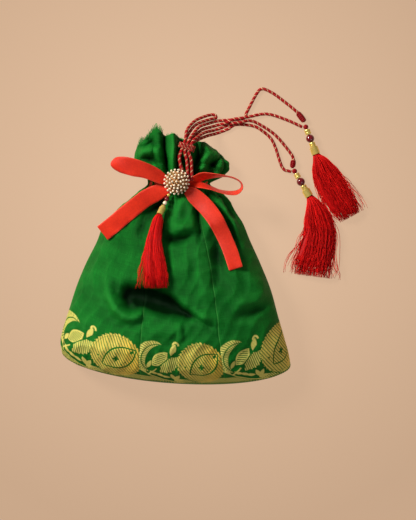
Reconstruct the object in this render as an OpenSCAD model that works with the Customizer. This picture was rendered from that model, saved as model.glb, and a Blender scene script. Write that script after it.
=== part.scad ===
// Drawstring gift sack lying on its back: six fabric panels with a gathered neck,
// cords that run round the neck, three tassels, a ribbon bow and a pearl brooch.
// +Y runs from the hem to the mouth, +Z up out of the face that is seen.

/* [Sack body] */
// Width of the sack across its hem
sack_w = 200; // [170:1:216]
// Greatest thickness of the filled sack as it lies
sack_h = 52; // [44:1:62]
// Thickness of the outer fabric
fabric_t = 0.9; // [0.6:0.05:1.1]
// Thickness of the lining fabric
lining_t = 0.5; // [0.3:0.05:0.6]

/* [Drawstring] */
// Diameter of the twisted cord
cord_d = 2.8; // [2.3:0.1:3]
// Length of the binding that holds the six strands
binding_l = 5.2; // [4:0.1:6.4]
// Length of each whipping near a tassel
whip_l = 9; // [7:0.5:10]

/* [Ribbon bow] */
// Width of the ribbon
ribbon_w = 15; // [12:0.5:16]
// Thickness of the ribbon
ribbon_t = 0.5; // [0.4:0.05:0.7]

/* [Brooch] */
// Radius of the sphere that the pearl centres lie on
brooch_r = 11; // [9:0.5:12]
// Radius of one pearl
pearl_r = 1; // [0.7:0.05:1.2]
// Radius of one pin
pin_r = 0.4; // [0.25:0.05:0.45]

/* [Tassels] */
// Radius of the maroon bead
bead_r = 3.7; // [3.1:0.1:3.8]
// Radius of the gold cap
cap_r = 3.8; // [3.4:0.1:4]
// Length of the gold cap
cap_l = 8.4; // [7:0.2:10]
// Radius of the stem that carries the beads
stem_r = 0.6; // [0.5:0.05:0.7]

/* [Hidden] */
// Radial clearances of a turning bead and of a fixed piece on its stem
run_gap = 0.05;
fix_gap = 0.02;
// Gap between fabric layers, and the side clearance of a cord in the casing
layer_gap = 0.1;
cord_gap = 0.4;
sx = sack_w / 200;
sz = sack_h / 52;

// One station per row, from the hem to the rim of the mouth:
// [y, half width, thickness, bow, tilt, centre x, lift off the table, casing 0 or 1]
body_stations = [
    [-89.5, 100,  30, 20.5, -6,    0, 0, 0],
    [-80,   99.5, 42, 20,   -5, -1.5, 0, 0],
    [-68,   96.5, 49, 19,   -4, -2.2, 0, 0],
    [-50,   91,   52, 17,   -3, -2.2, 0, 0],
    [-28,   84.5, 51, 14,   -2, -2,   0, 0],
    [-7,    76,   48, 10,   -1, -2.2, 0, 0],
    [12,    67,   43, 6.5,   0, -2.2, 0, 0],
    [28,    60.5, 38, 3.5,   0, -2.6, 0, 0],
    [36,    54, 34.5, 2,     0, -1.5, 0, 0]
];
neck_stations = [
    [43,   47.5, 31,  1,   0, 0.5, 0,   0],
    [50,   40.5, 27,  0.5, 0, 2,   0,   0],
    [56,   33, 22.5,  0,   0, 3,   0.4, 0],
    [60,   26.5, 19,  0,   0, 2,   1.2, 0],
    [63,   24.6, 18,  0,   0, 2,   1.2, 1],
    [65.5, 24.6, 18,  0,   0, 2,   1.2, 1],
    [73,   26.5, 18,  0,   0, 2,   1.2, 1],
    [77,   34, 20.5,  -2,  0, 3,   0.6, 0],
    [82,   40,   22,  -6, -1, 4,   0,   0],
    [86,   39,   19, -12, -3, 3,   0,   0],
    [89,   37,   16, -20.5, -4, 2.5, 0, 0]
];
stations = concat(
    [for (s = body_stations) [s[0], s[1] * sx, s[2] * sz, s[3], s[4], s[5], s[6], s[7]]],
    neck_stations
);
// Rows of the casing where the front right seam is left unsewn for the cords
open_rows = [14, 15];
// Seams between panels, as angles round the section, and segments per panel
seams = [-14, 64.5, 107.5, 180, 252.5, 295.5, 346];
segments = [6, 4, 6, 6, 4, 5];
// The unsewn stretch of the seam runs between these angles
gap_from = 56;
gap_to = 81.5;

// Cords: lanes C, A and B come up through the seam, two strands in each
lane_x = [7.5, 10.7, 13.9];
end_rows = [67.4, 71];
end_tops = [26.1, 22.9];
cord_sides = 8;

// Each strand is a list of points chosen by hand: [x, y, z]
upper_out = [
    [10.7, 66, 27.7], [9.5, 83, 27.7], [8, 91.5, 27.7], [11.4, 100.7, 27.7], [14.8, 106.5, 23.5],
    [20.5, 113.5, 15], [28.5, 117, 6], [38, 119.6, 1.7], [59, 121.6, 1.7], [62.5, 127.5, 1.7],
    [71, 143.5, 1.7], [76, 147.8, 1.7], [84, 144.8, 1.7], [93, 138.5, 1.7], [107.2, 126.8, 3],
    [113.3, 118.9, 3]
];
upper_back = [
    [10.7, 69.5, 24.5], [9.5, 83, 24.5], [8, 91.5, 24.5], [11, 99.5, 24.5], [15.8, 104.8, 20.5],
    [22.8, 111, 13], [30.5, 113.8, 5], [37.5, 116, 1.9], [42, 117, 4], [46, 118.6, 4.8],
    [49.5, 120.5, 5.2], [53, 121.2, 5.1], [59, 122, 5], [64, 123, 3.2], [80, 125.6, 1.7],
    [97, 120.6, 1.9], [111, 114.2, 3]
];
lower_out = [
    [13.9, 66, 27.7], [13.4, 83, 27.7], [11.3, 91.2, 27.7], [14.6, 99.7, 27.7], [18.3, 103.8, 23.6],
    [25.2, 108.6, 13], [32.5, 110.8, 4.5], [39, 113, 1.7], [46, 115.9, 2.4], [49.5, 117.3, 4.1],
    [53, 117.6, 4.9], [59, 118.5, 4.9], [64, 119.6, 3.2], [71.5, 117.6, 1.7], [87, 107.4, 1.7],
    [100, 92.3, 2], [103.6, 85.2, 2.8], [102.6, 78, 2.8]
];
lower_back = [
    [13.9, 69.5, 24.5], [13.4, 83, 24.5], [11.3, 91.2, 24.5], [14.1, 98.5, 24.5], [19.4, 101.9, 20.8],
    [27.4, 105.8, 11], [34, 107.8, 4], [39, 109.6, 1.7], [46, 112.4, 1.7], [53, 116.2, 1.7],
    [68, 115, 1.7], [77, 110, 1.7], [84, 103.4, 1.7], [88, 95, 1.7], [94, 78, 1.7],
    [101.4, 74.6, 3]
];
short_loop = [
    [7.5, 66, 27.7], [3.2, 84, 27.7], [4.8, 91.9, 27.7], [8.1, 101, 27.7], [9.6, 110, 24.3],
    [16.2, 118.4, 15.5], [24.5, 122.8, 8], [31, 124.8, 3.6], [34.6, 124.2, 3], [34.8, 121.8, 3],
    [31, 121, 4.8], [18.6, 116.1, 14], [12.2, 108.9, 21.5], [7.9, 100.2, 24.5], [4.8, 91.9, 24.5],
    [3.2, 84, 24.5], [7.5, 69.5, 24.5]
];
// Centre and heading of the binding round the six strands
binding_at = [9.5, 95.5, 26.1];
binding_turn = -20.5;
lane_pitch = 3.2;
// The cord's ends rise from the lining of the casing
end_base = neck_stations[4][6] + neck_stations[4][2] - fabric_t - layer_gap - cord_d - 2 * cord_gap;

// Knots where the tassels turn, and the heading of each stem
upper_at = [114.4, 114, 4];
upper_turn = -69.3;
lower_at = [104.5, 75, 4];
lower_turn = -59.6;
front_at = [-5, 56, 26];
front_turn = -114.3;
front_pitch = 29;
knot_r = 2.2;
front_knot_r = 1.6;
// Distances along a stem from its knot: crown beads, maroon bead, ring bead and cap
crown_r = 2.7;
crown_l = 2.2;
crown_at = [3.6, 5.9];
bead_at = 10.9;
bead_l = 2 * bead_r - 0.2;
ring_r = 2.75;
ring_l = 2.4;
ring_at = bead_at + bead_r + ring_l / 2 + 0.1;
cap_at = ring_at + ring_l / 2 + 0.1;
cap_wall = 0.6;
cap_socket = 3;
thread_r = cap_r - cap_wall - 0.2;
// Front tassel: [radius, length, distance along the stem] of each bead and of the cap
front_crown = [1.5, 2.8, 3.6];
front_maroon = [2.3, 4.4, 7.8];
front_ring = [1.9, 3.6, 12.4];
front_bell = [0.76 * cap_r, 9.4, 15.9];
front_thread_r = front_bell[0] - cap_wall - 0.088;
// Skirts, from the cap to the ends of the threads: [x, y, z, half width, half thickness]
upper_skirt_rows = [
    [122.7, 92, 4, thread_r, thread_r], [123.7, 89.4, 4, thread_r, thread_r],
    [124.8, 87, 4.4, 4.6, 3.6],   [127.3, 82.5, 4.8, 8.2, 4.2], [131,   74,   5,  11.6, 4.5],
    [136.6, 63, 5,  13.2, 4.5],   [143.4, 51,   5,  13,  4.4],  [149.6, 41,   4.6, 12, 4],
    [152.8, 35.6, 4, 9.4, 3.2]
];
lower_skirt_rows = [
    [116.5, 54.6, 4, thread_r, thread_r], [117.9, 52.2, 4, thread_r, thread_r],
    [119.2, 50, 4.4, 4.4, 3.6],   [121.6, 44.5, 4.8, 7.8, 4.2], [124.8, 34,   5,  12.6, 4.5],
    [126.6, 20, 5,  14.8, 4.5],   [123.6, 4,    5,  15.6, 4.4], [120.4, -9,   4.6, 16.8, 4],
    [119.4, -17, 4, 17.4, 3.2]
];
front_skirt_rows = [
    [-14.1, 35.9, 39.1, front_thread_r, front_thread_r], [-15.2, 31, 41.2, 4.6, 2.6], [-17.2, 22, 44.4, 5.6, 2.8],
    [-18.6, 9,  48.4, 7.4, 3],     [-17.8, -6, 52,  9.6, 3],    [-16.6, -18, 53.6, 10.4, 2.8],
    [-16.3, -27, 54.4, 10, 2.4]
];

// Bow: [x, y, z, half width, heading of the width in plan], and for the upright
// loop [x, y, z, half width]. Tails: [x, y, least z, half width].
left_loop_rows = [
    [-6.3, 64.6, 23.7, 3, 90],  [-15, 69.5, 27.5, 6.5, 94], [-29, 76.2, 32, 7.5, 100],
    [-43, 79.4, 34, 7.5, 101],  [-52, 79, 32.4, 7.5, 101],  [-56.4, 77.6, 28.8, 7.5, 101],
    [-52, 76, 25.6, 7.5, 101],  [-43, 75, 24.9, 7.5, 101],  [-29, 72.8, 24.8, 7.5, 98],
    [-15, 68, 24.5, 6, 94], [-6.3, 63.4, 21.9, 3, 90]
];
right_loop_rows = [
    [10.2, 61.6, 22.1, 1.7], [17, 63.2, 24.6, 3.4],   [24, 63.2, 28, 6],     [31, 60.6, 30.4, 7.4],
    [38, 57.2, 30.8, 7.5],   [46, 54.9, 30.8, 7.5],   [53, 55.3, 30.8, 7.5], [57.3, 59.2, 30.8, 7.5],
    [56.3, 64, 30.8, 7.5],   [51, 67.3, 30.8, 7.5],   [43, 69.2, 30.8, 7.5], [33, 70.2, 30.8, 7.5],
    [23.4, 70, 30, 6.6],     [18, 66.6, 26, 3.8],     [10.2, 63.8, 22.1, 1.7]
];
left_tail_rows = [
    [-7, 58, 22.9, 3.4], [-16, 55.4, 23.4, 7], [-25.5, 50.8, 23.8, 7.5], [-33, 45.2, 24, 7.5],
    [-40, 39.5, 24, 7.5], [-46.4, 34.3, 23.6, 7.5], [-52.5, 29, 22.4, 7.5], [-64.1, 19.8, 19, 7.5]
];
right_tail_rows = [
    [9, 57.2, 22.9, 3.4], [14.5, 53.6, 23.4, 6.4], [21.5, 47.4, 24, 7.2], [28, 40.6, 24, 7.2],
    [34.2, 32, 24, 7],    [39.4, 22.4, 24, 6.6],  [44, 12.6, 24, 6.4],   [48.2, 2, 24, 6.4],
    [52.2, -11, 24, 6.2]
];
tail_clear = 1.3;
knot_box = [14, 8, 2.4];
knot_at = [2, 62, 22.95];
brooch_at = [0.7, 64.6, 29.5];
brooch_core_r = 4.2;
plate_r = 5.5;
plate_t = 1;
// Rings of pearls, from the middle out: [count, angle off straight up]
pearl_rings = [[1, 0], [6, 19.7], [12, 33.4], [15, 51.4], [20, 74.5]];
smooth_fn = 48;

green = "ForestGreen";
gold = "Gold";
red = "FireBrick";
scarlet = "OrangeRed";
maroon = "Maroon";

// ---- Section of the sack ----

// Height of the section at angle t, from 0 at the table to 1 at the top
function height_at(t) = sin(t) >= 0
    ? 0.3 + 0.7 * sin(t)
    : max(0, 0.3 - 0.39 * pow(-sin(t), 0.7));

// Point of station s at angle t, moved inwards by inset
function skin_point(s, t, inset) = [
    s[5] + (s[1] - inset) * cos(t),
    s[0] + s[4] * cos(t) - s[3] * abs(sin(t)),
    s[6] + inset + (s[2] - 2 * inset) * height_at(t)
];

// Station at a distance y along the sack, by straight interpolation
function column(i) = [for (s = stations) [s[0], s[i]]];
function station_at(y) = concat([y], [for (i = [1 : 7]) lookup(y, column(i))]);

// Height of the outer skin under the plan point (x, y)
function skin_top(s, x) = let (u = min(1, abs(x - s[5]) / s[1]))
    s[6] + s[2] * (0.3 + 0.7 * sqrt(1 - u * u));
function skin_z(x, y) = let (
    s = station_at(y),
    u = max(-1, min(1, (x - s[5]) / s[1])),
    y2 = y - s[4] * u + s[3] * sqrt(1 - u * u)
) skin_top(station_at(y2), x);

// How far the skin lies above where it lies on a sack 52 thick
function skin_rise(x, y) = skin_z(x, y) * (1 - 1 / sz);

// Plan position of what lies on the sack, which follows its width below the neck
function lay_x(x, y) = x * (1 + (sx - 1) * max(0, min(1, (56 - y) / 20)));

// ---- Closed meshes ----

function flat(list) = [for (row = list, p = row) p];

// A sheet between two grids of points, closed round its four edges
module sheet_solid(outer, inner) {
    rows = len(outer);
    cols = len(outer[0]);
    n = rows * cols;
    faces = concat(
        [for (r = [0 : rows - 2], k = [0 : cols - 2], f = let (a = r * cols + k, c = a + cols)
            [[a, a + 1, c + 1], [a, c + 1, c], [n + a, n + c + 1, n + a + 1], [n + a, n + c, n + c + 1]]) f],
        [for (r = [0 : rows - 2], f = let (a = r * cols, c = a + cols)
            [[a, c, n + c], [a, n + c, n + a]]) f],
        [for (r = [0 : rows - 2], f = let (b = r * cols + cols - 1, d = b + cols)
            [[d, b, n + b], [d, n + b, n + d]]) f],
        [for (k = [0 : cols - 2], f = [[k + 1, k, n + k], [k + 1, n + k, n + k + 1]]) f],
        [for (k = [0 : cols - 2], f = let (c = (rows - 1) * cols + k)
            [[c, c + 1, n + c + 1], [c, n + c + 1, n + c]]) f]
    );
    polyhedron(points = concat(flat(outer), flat(inner)), faces = faces);
}

// A tube between two stacks of closed rings
module sleeve_solid(outer, inner) {
    rows = len(outer);
    cols = len(outer[0]);
    n = rows * cols;
    faces = concat(
        [for (r = [0 : rows - 2], k = [0 : cols - 1], f = let (
                a = r * cols + k, b = r * cols + (k + 1) % cols, c = a + cols, d = b + cols)
            [[a, b, d], [a, d, c], [n + a, n + d, n + b], [n + a, n + c, n + d]]) f],
        [for (k = [0 : cols - 1], f = let (b = (k + 1) % cols)
            [[b, k, n + k], [b, n + k, n + b]]) f],
        [for (k = [0 : cols - 1], f = let (top = (rows - 1) * cols, c = top + k, d = top + (k + 1) % cols)
            [[c, d, n + d], [c, n + d, n + c]]) f]
    );
    polyhedron(points = concat(flat(outer), flat(inner)), faces = faces);
}

// A solid through a list of closed rings, with a flat cap at each end
module loft(rings) {
    rows = len(rings);
    cols = len(rings[0]);
    faces = concat(
        [[for (k = [0 : cols - 1]) k]],
        [for (r = [0 : rows - 2], k = [0 : cols - 1], f = let (
                a = r * cols + k, b = r * cols + (k + 1) % cols, c = a + cols, d = b + cols)
            [[a, d, b], [a, c, d]]) f],
        [[for (k = [cols - 1 : -1 : 0]) (rows - 1) * cols + k]]
    );
    polyhedron(points = flat(rings), faces = faces);
}

function unit(v) = v / norm(v);
function heading(path, i) = unit(path[min(i + 1, len(path) - 1)] - path[max(i - 1, 0)]);

// Rings of an elliptical tube along a path: half width across, half thickness up
function tube_rings(path, across, up, sides) = [
    for (i = [0 : len(path) - 1])
    let (
        along = heading(path, i),
        side = unit(cross([0, 0, 1], along)),
        top = cross(along, side)
    )
    [for (k = [0 : sides - 1]) let (a = 360 * (k + 0.5) / sides)
        path[i] + side * across[i] * cos(a) + top * up[i] * sin(a)]
];

module cord(path) {
    r = [for (p = path) cord_d / 2];
    loft(tube_rings(path, r, r, cord_sides));
}

// ---- Sack ----

// Angle of grid line k of a panel at one row, with the unsewn gap opened
function panel_angle(panel, k, row) =
    let (
        open = len(search(row, open_rows)) > 0,
        from = open && panel == 1 ? gap_to : seams[panel],
        to = open && panel == 0 ? gap_from : seams[panel + 1]
    )
    from + (to - from) * k / segments[panel];

function panel_grid(panel, inset) = [
    for (row = [0 : len(stations) - 1])
    [for (k = [0 : segments[panel]]) skin_point(stations[row], panel_angle(panel, k, row), inset)]
];

module fabric_panel(panel) {
    sheet_solid(panel_grid(panel, 0), panel_grid(panel, fabric_t));
}

module front_right_panel() {
    color(green) fabric_panel(0);
}

module front_center_panel() {
    color(green) fabric_panel(1);
}

module front_left_panel() {
    color(green) fabric_panel(2);
}

module back_left_panel() {
    color(green) fabric_panel(3);
}

module back_center_panel() {
    color(green) fabric_panel(4);
}

module back_right_panel() {
    color(green) fabric_panel(5);
}

// A strip that closes the end of the sack between the front and back hems
module end_strip(inset, from_hem, thickness) {
    hem = stations[0];
    loft([for (t = [14 : 8.3 : 166]) let (
            front = skin_point(hem, t, inset),
            back = skin_point(hem, -t, inset),
            near = [0, from_hem, 0],
            far = [0, from_hem + thickness, 0])
        [front + near, front + far, back + far, back + near]]);
}

module base_panel() {
    color(green) end_strip(fabric_t + lining_t + 0.8, 0.2, fabric_t);
}

module lining_base() {
    color("DarkGreen") end_strip(fabric_t + lining_t + 1, 0.4 + fabric_t, lining_t);
}

// Space between panel and lining: a thin gap, and room for the cord in the casing
function lining_inset(s) = fabric_t + layer_gap + s[7] * (cord_d + 2 * cord_gap);
function sleeve_rings(extra) = [
    for (s = stations)
    [for (panel = [0 : 5], k = [0 : segments[panel] - 1])
        let (t = seams[panel] + (seams[panel + 1] - seams[panel]) * k / segments[panel])
        skin_point(s, t, lining_inset(s) + extra)]
];

module lining_sleeve() {
    color("DarkGreen") sleeve_solid(sleeve_rings(0), sleeve_rings(lining_t));
}

// ---- Cords ----

function casing_turn(y) = let (s = station_at(y), inset = fabric_t + cord_gap + cord_d / 2)
    [for (t = [gap_to + 5 : 14 : 360 + gap_from - 5]) skin_point(s, t, inset)];

module casing_cord() {
    color(red) {
        for (y = end_rows) {
            cord(casing_turn(y));
        }
    }
}

module casing_cord_ends() {
    color(red) {
        for (row = [0, 1], x = lane_x) {
            translate([x, end_rows[row], end_base])
                cylinder(r = cord_d / 2 - layer_gap / 2, h = end_tops[row] - end_base, $fn = 32);
        }
    }
}

module upper_loop_cord() {
    color(red) {
        cord(upper_out);
        cord(upper_back);
    }
}

module lower_loop_cord() {
    color(red) {
        cord(lower_out);
        cord(lower_back);
    }
}

module short_loop_cord() {
    color(red) cord(short_loop);
}

// Outline of the binding: a rounded box round three lanes and two layers
module binding_outline(r) {
    for (side = [-1, 1]) {
        translate([side * lane_pitch, 0])
            circle(r = r, $fn = smooth_fn);
    }
    square([2 * lane_pitch, 2 * r], center = true);
}

module cord_binding() {
    inner = lane_pitch / 2 + cord_d / 2 + 0.15;
    color(red) translate(binding_at) rotate([90, 0, binding_turn])
        linear_extrude(height = binding_l, center = true) {
            difference() {
                binding_outline(inner + 0.8);
                binding_outline(inner);
            }
        }
}

// A whipping is wound round the last stretch of a strand
module whipping(from, to, outer_r) {
    along = to - from;
    turn = atan2(along[1], along[0]);
    middle = (from + to) / 2;
    color(red) translate(middle) rotate([0, 90, turn])
        difference() {
            cylinder(r = outer_r, h = min(whip_l, norm(along)), center = true, $fn = smooth_fn);
            cylinder(r = cord_d / 2 + run_gap, h = norm(along) + 2, center = true, $fn = smooth_fn);
        }
}

module upper_whipping() {
    whipping(upper_out[14], upper_out[15], 2.7);
}

module lower_whipping() {
    whipping(lower_out[16], lower_out[17], 2.5);
}

// ---- Tassels, drawn along +X from their knot ----

module place(at, turn, pitch) {
    translate(at) rotate([0, 0, turn]) rotate([0, -pitch, 0]) children();
}

module on_upper() {
    place(upper_at, upper_turn, 0) children();
}

module on_lower() {
    place(lower_at, lower_turn, 0) children();
}

// The front tassel tips up about its knot as the skin under its cap rises
front_reach = front_bell[2] + front_bell[1];
front_tip = front_at + front_reach * [cos(front_turn), sin(front_turn), 0] * cos(front_pitch);
front_tilt = atan2(
    front_reach * sin(front_pitch) + skin_rise(front_tip[0], front_tip[1]),
    front_reach * cos(front_pitch)
);
// Turns a point of the nominal tassel up with its cap
function tipped(p) = let (
        v = p - front_at,
        flat_reach = norm([v[0], v[1]]),
        reach = norm(v),
        rise = atan2(v[2], flat_reach) + front_tilt - atan2(tan(front_pitch), 1)
    )
    front_at + [v[0] / flat_reach, v[1] / flat_reach, 0] * reach * cos(rise) + [0, 0, reach * sin(rise)];
// The first two rows stay in the cap, and the rest follow the skin
function front_row(i) = let (p = front_skirt_rows[i], at = [p[0], p[1], p[2]])
    concat(i < 2 ? tipped(at) : at + [0, 0, skin_rise(p[0], p[1])], [p[3], p[4]]);

module on_front() {
    place(front_at, front_turn, front_tilt) children();
}

module rod(r, from, to) {
    translate([from, 0, 0]) rotate([0, 90, 0])
        cylinder(r = r, h = to - from, $fn = smooth_fn);
}

module stem(knot, tip) {
    color(red) rod(stem_r, knot + 0.3, tip);
}

// Turned bead, drilled for the stem and cut level at both ends
module bead(r, l, at, gap) {
    translate([at, 0, 0]) rotate([0, 90, 0])
        rotate_extrude($fn = smooth_fn) {
            intersection() {
                circle(r = r, $fn = smooth_fn);
                translate([stem_r + gap, -l / 2])
                    square([r, l]);
            }
        }
}

// Bell cap: a shoulder, a barrel and a socket for the threads
module bell_cap(r, l, at) {
    difference() {
        union() {
            rod(r, at + l * 0.22, at + l);
            rod(r * 0.72, at, at + l * 0.22);
        }
        rod(stem_r + fix_gap, at - 1, at + l + 1);
        rod(r - cap_wall, at + l - cap_socket, at + l + 1);
    }
}

// Threads of a tassel as one flattened fan
module skirt(rows) {
    loft(tube_rings([for (p = rows) [p[0], p[1], p[2]]], [for (p = rows) p[3]], [for (p = rows) p[4]], 12));
}

module knot_ball(at, r) {
    color(red) translate(at) sphere(r = r, $fn = smooth_fn);
}

module crown_beads() {
    color(gold) bead(crown_r, crown_l, crown_at[0], fix_gap);
    color(gold) bead(crown_r, crown_l, crown_at[1], fix_gap);
}

module upper_knot() {
    knot_ball(upper_at, knot_r);
}

module upper_stem() {
    on_upper() stem(knot_r, cap_at + cap_l - cap_socket);
}

module upper_crown_beads() {
    on_upper() crown_beads();
}

module upper_maroon_bead() {
    color(maroon) on_upper() bead(bead_r, bead_l, bead_at, run_gap);
}

module upper_ring_bead() {
    color(gold) on_upper() bead(ring_r, ring_l, ring_at, run_gap);
}

module upper_cap() {
    color(gold) on_upper() bell_cap(cap_r, cap_l, cap_at);
}

module upper_skirt() {
    color(red) skirt(upper_skirt_rows);
}

module lower_knot() {
    knot_ball(lower_at, knot_r);
}

module lower_stem() {
    on_lower() stem(knot_r, cap_at + cap_l - cap_socket);
}

module lower_crown_beads() {
    on_lower() crown_beads();
}

module lower_maroon_bead() {
    color(maroon) on_lower() bead(bead_r, bead_l, bead_at, run_gap);
}

module lower_ring_bead() {
    color(gold) on_lower() bead(ring_r, ring_l, ring_at, run_gap);
}

module lower_cap() {
    color(gold) on_lower() bell_cap(cap_r, cap_l, cap_at);
}

module lower_skirt() {
    color(red) skirt(lower_skirt_rows);
}

module front_knot() {
    knot_ball(front_at, front_knot_r);
}

module front_stem() {
    on_front() stem(front_knot_r, front_bell[2] + front_bell[1] - cap_socket);
}

module front_bead(size, gap) {
    on_front() bead(size[0], size[1], size[2], gap);
}

module front_crown_beads() {
    color(gold) front_bead(front_crown, fix_gap);
}

module front_maroon_bead() {
    color(maroon) front_bead(front_maroon, run_gap);
}

module front_ring_bead() {
    color("Ivory") front_bead(front_ring, run_gap);
}

module front_cap() {
    color(gold) on_front() bell_cap(front_bell[0], front_bell[1], front_bell[2]);
}

module front_skirt() {
    color(red) skirt([for (i = [0 : len(front_skirt_rows) - 1]) front_row(i)]);
}

// ---- Ribbon bow ----

// Ribbon through rows of edge points: each row gives two edges and a thickness vector
module ribbon(edges, thick) {
    loft([for (i = [0 : len(edges) - 1]) let (e = edges[i], t = thick[i])
        [e[0], e[0] + t, e[1] + t, e[1]]]);
}

// Band of ribbon wound once round the gathered neck
module neck_ribbon() {
    rows = [station_at(60.2), station_at(62.2), station_at(64.6)];
    color(scarlet) sleeve_solid(
        [for (s = rows) [for (t = [0 : 10 : 350]) skin_point(s, t, -0.4 - ribbon_t)]],
        [for (s = rows) [for (t = [0 : 10 : 350]) skin_point(s, t, -0.4)]]
    );
}

module bow_knot() {
    color(scarlet) translate(knot_at) rotate([90, 0, 0])
        linear_extrude(height = knot_box[1], center = true) {
            square([knot_box[0] - knot_box[2], knot_box[2]], center = true);
            for (side = [-1, 1]) {
                translate([side * (knot_box[0] - knot_box[2]) / 2, 0])
                    circle(d = knot_box[2], $fn = smooth_fn);
            }
        }
}

// Direction of thickness: square to the path in the upright plane
function flat_normal(path, i, width) = unit(cross(width, heading(path, i)));

module bow_left_loop() {
    rows = left_loop_rows;
    width = [for (p = rows) [cos(p[4]), sin(p[4]), 0]];
    // A wider ribbon grows away from the tail below it
    path = [for (i = [0 : len(rows) - 1]) let (p = rows[i])
        [p[0], p[1], p[2]] + width[i] * p[3] * (ribbon_w / 15 - 1)];
    color(scarlet) ribbon(
        [for (i = [0 : len(rows) - 1]) let (half = width[i] * rows[i][3] * ribbon_w / 15)
            [path[i] - half, path[i] + half]],
        [for (i = [0 : len(rows) - 1]) flat_normal(path, i, width[i]) * ribbon_t]
    );
}

module bow_right_loop() {
    rows = right_loop_rows;
    path = [for (p = rows) [p[0], p[1], p[2]]];
    color(scarlet) ribbon(
        [for (i = [0 : len(rows) - 1]) let (half = [0, 0, rows[i][3] * ribbon_w / 15])
            [path[i] - half, path[i] + half]],
        [for (i = [0 : len(rows) - 1]) flat_normal(path, i, [0, 0, 1]) * ribbon_t]
    );
}

// Tails follow the skin of the sack, and stay above the least height of each row.
// A skin that rises more is rounder between two rows, so the tail clears it by more.
function tail_z(p, least) = max(least,
    skin_z(p[0], p[1]) + tail_clear + 0.2 * max(0, skin_rise(p[0], p[1])));

module bow_tail(rows, flip) {
    path = [for (p = rows) [lay_x(p[0], p[1]), p[1], 0]];
    edges = [for (i = [0 : len(rows) - 1]) let (
            side = cross([0, 0, 1], heading(path, i)) * rows[i][3] * ribbon_w / 15,
            a = path[i] - side * flip,
            b = path[i] + side * flip)
        [[a[0], a[1], tail_z(a, rows[i][2])], [b[0], b[1], tail_z(b, rows[i][2])]]];
    ribbon(edges, [for (p = rows) [0, 0, ribbon_t]]);
}

module bow_left_tail() {
    color(scarlet) bow_tail(left_tail_rows, 1);
}

module bow_right_tail() {
    color(scarlet) bow_tail(right_tail_rows, 1);
}

// ---- Brooch ----

module brooch_back_plate() {
    color(gold) translate([brooch_at[0], brooch_at[1], brooch_at[2] - brooch_core_r - plate_t])
        cylinder(r = plate_r, h = plate_t, $fn = smooth_fn);
}

module brooch_core() {
    color(gold) translate(brooch_at) sphere(r = brooch_core_r, $fn = smooth_fn);
}

// Copies its child at every pearl's direction, with +Z pointing out
module each_pearl() {
    for (ring = pearl_rings, i = [0 : ring[0] - 1]) {
        translate(brooch_at) rotate([0, ring[1], i * 360 / ring[0] + ring[1] * 3])
            children();
    }
}

module brooch_pins() {
    color(gold) each_pearl() translate([0, 0, brooch_core_r + run_gap])
        cylinder(r = pin_r, h = brooch_r - pearl_r - brooch_core_r - 2 * run_gap, $fn = 16);
}

module brooch_pearls() {
    color("Ivory") each_pearl() translate([0, 0, brooch_r])
        sphere(r = pearl_r, $fn = 24);
}

front_left_panel();
front_center_panel();
front_right_panel();
back_right_panel();
back_center_panel();
back_left_panel();
base_panel();
lining_sleeve();
lining_base();
casing_cord();
casing_cord_ends();
upper_loop_cord();
lower_loop_cord();
short_loop_cord();
cord_binding();
upper_whipping();
lower_whipping();
upper_knot();
upper_stem();
upper_crown_beads();
upper_maroon_bead();
upper_ring_bead();
upper_cap();
upper_skirt();
lower_knot();
lower_stem();
lower_crown_beads();
lower_maroon_bead();
lower_ring_bead();
lower_cap();
lower_skirt();
front_knot();
front_stem();
front_crown_beads();
front_maroon_bead();
front_ring_bead();
front_cap();
front_skirt();
neck_ribbon();
bow_knot();
bow_left_loop();
bow_right_loop();
bow_left_tail();
bow_right_tail();
brooch_back_plate();
brooch_core();
brooch_pins();
brooch_pearls();
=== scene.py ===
import math

import bpy
import numpy as np
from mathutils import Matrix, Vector
from mathutils.bvhtree import BVHTree


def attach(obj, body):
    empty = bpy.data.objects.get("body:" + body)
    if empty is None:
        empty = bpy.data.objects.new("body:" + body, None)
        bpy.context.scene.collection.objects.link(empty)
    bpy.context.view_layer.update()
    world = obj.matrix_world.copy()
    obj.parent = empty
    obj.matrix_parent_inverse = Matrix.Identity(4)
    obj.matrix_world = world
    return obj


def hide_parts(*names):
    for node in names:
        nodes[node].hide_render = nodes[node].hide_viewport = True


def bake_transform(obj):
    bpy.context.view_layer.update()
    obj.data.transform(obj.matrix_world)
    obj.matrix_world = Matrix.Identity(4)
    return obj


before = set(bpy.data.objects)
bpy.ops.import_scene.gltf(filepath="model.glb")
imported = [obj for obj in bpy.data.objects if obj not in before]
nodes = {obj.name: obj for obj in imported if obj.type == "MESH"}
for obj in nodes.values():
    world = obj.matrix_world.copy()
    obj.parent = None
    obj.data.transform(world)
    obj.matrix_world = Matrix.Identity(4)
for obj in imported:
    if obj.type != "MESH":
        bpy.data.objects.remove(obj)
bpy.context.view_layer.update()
scene = bpy.context.scene
mm = 0.001
draw = np.random.default_rng(7)
print("stage: frame loaded,", len(nodes), "CAD nodes")


# Camera: straight above the sack, as it lies on its back
cameraSet = {"aim": (28, -3.5), "height": 2000, "lens": 156.4}
cameraData = bpy.data.cameras.new("camera")
cameraData.lens = cameraSet["lens"]
camera = bpy.data.objects.new("camera", cameraData)
camera.location = (cameraSet["aim"][0] * mm, cameraSet["aim"][1] * mm, cameraSet["height"] * mm)
scene.collection.objects.link(camera)
scene.camera = camera


# Small tools
def unit(v):
    return v / np.maximum(np.linalg.norm(v, axis=-1, keepdims=True), 1e-12)


def distances(line):
    return np.concatenate([[0], np.cumsum(np.linalg.norm(np.diff(line, axis=0), axis=1))])


def levelSide(along):
    return np.stack([along[:, 1], -along[:, 0], along[:, 0] * 0], 1)


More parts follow.
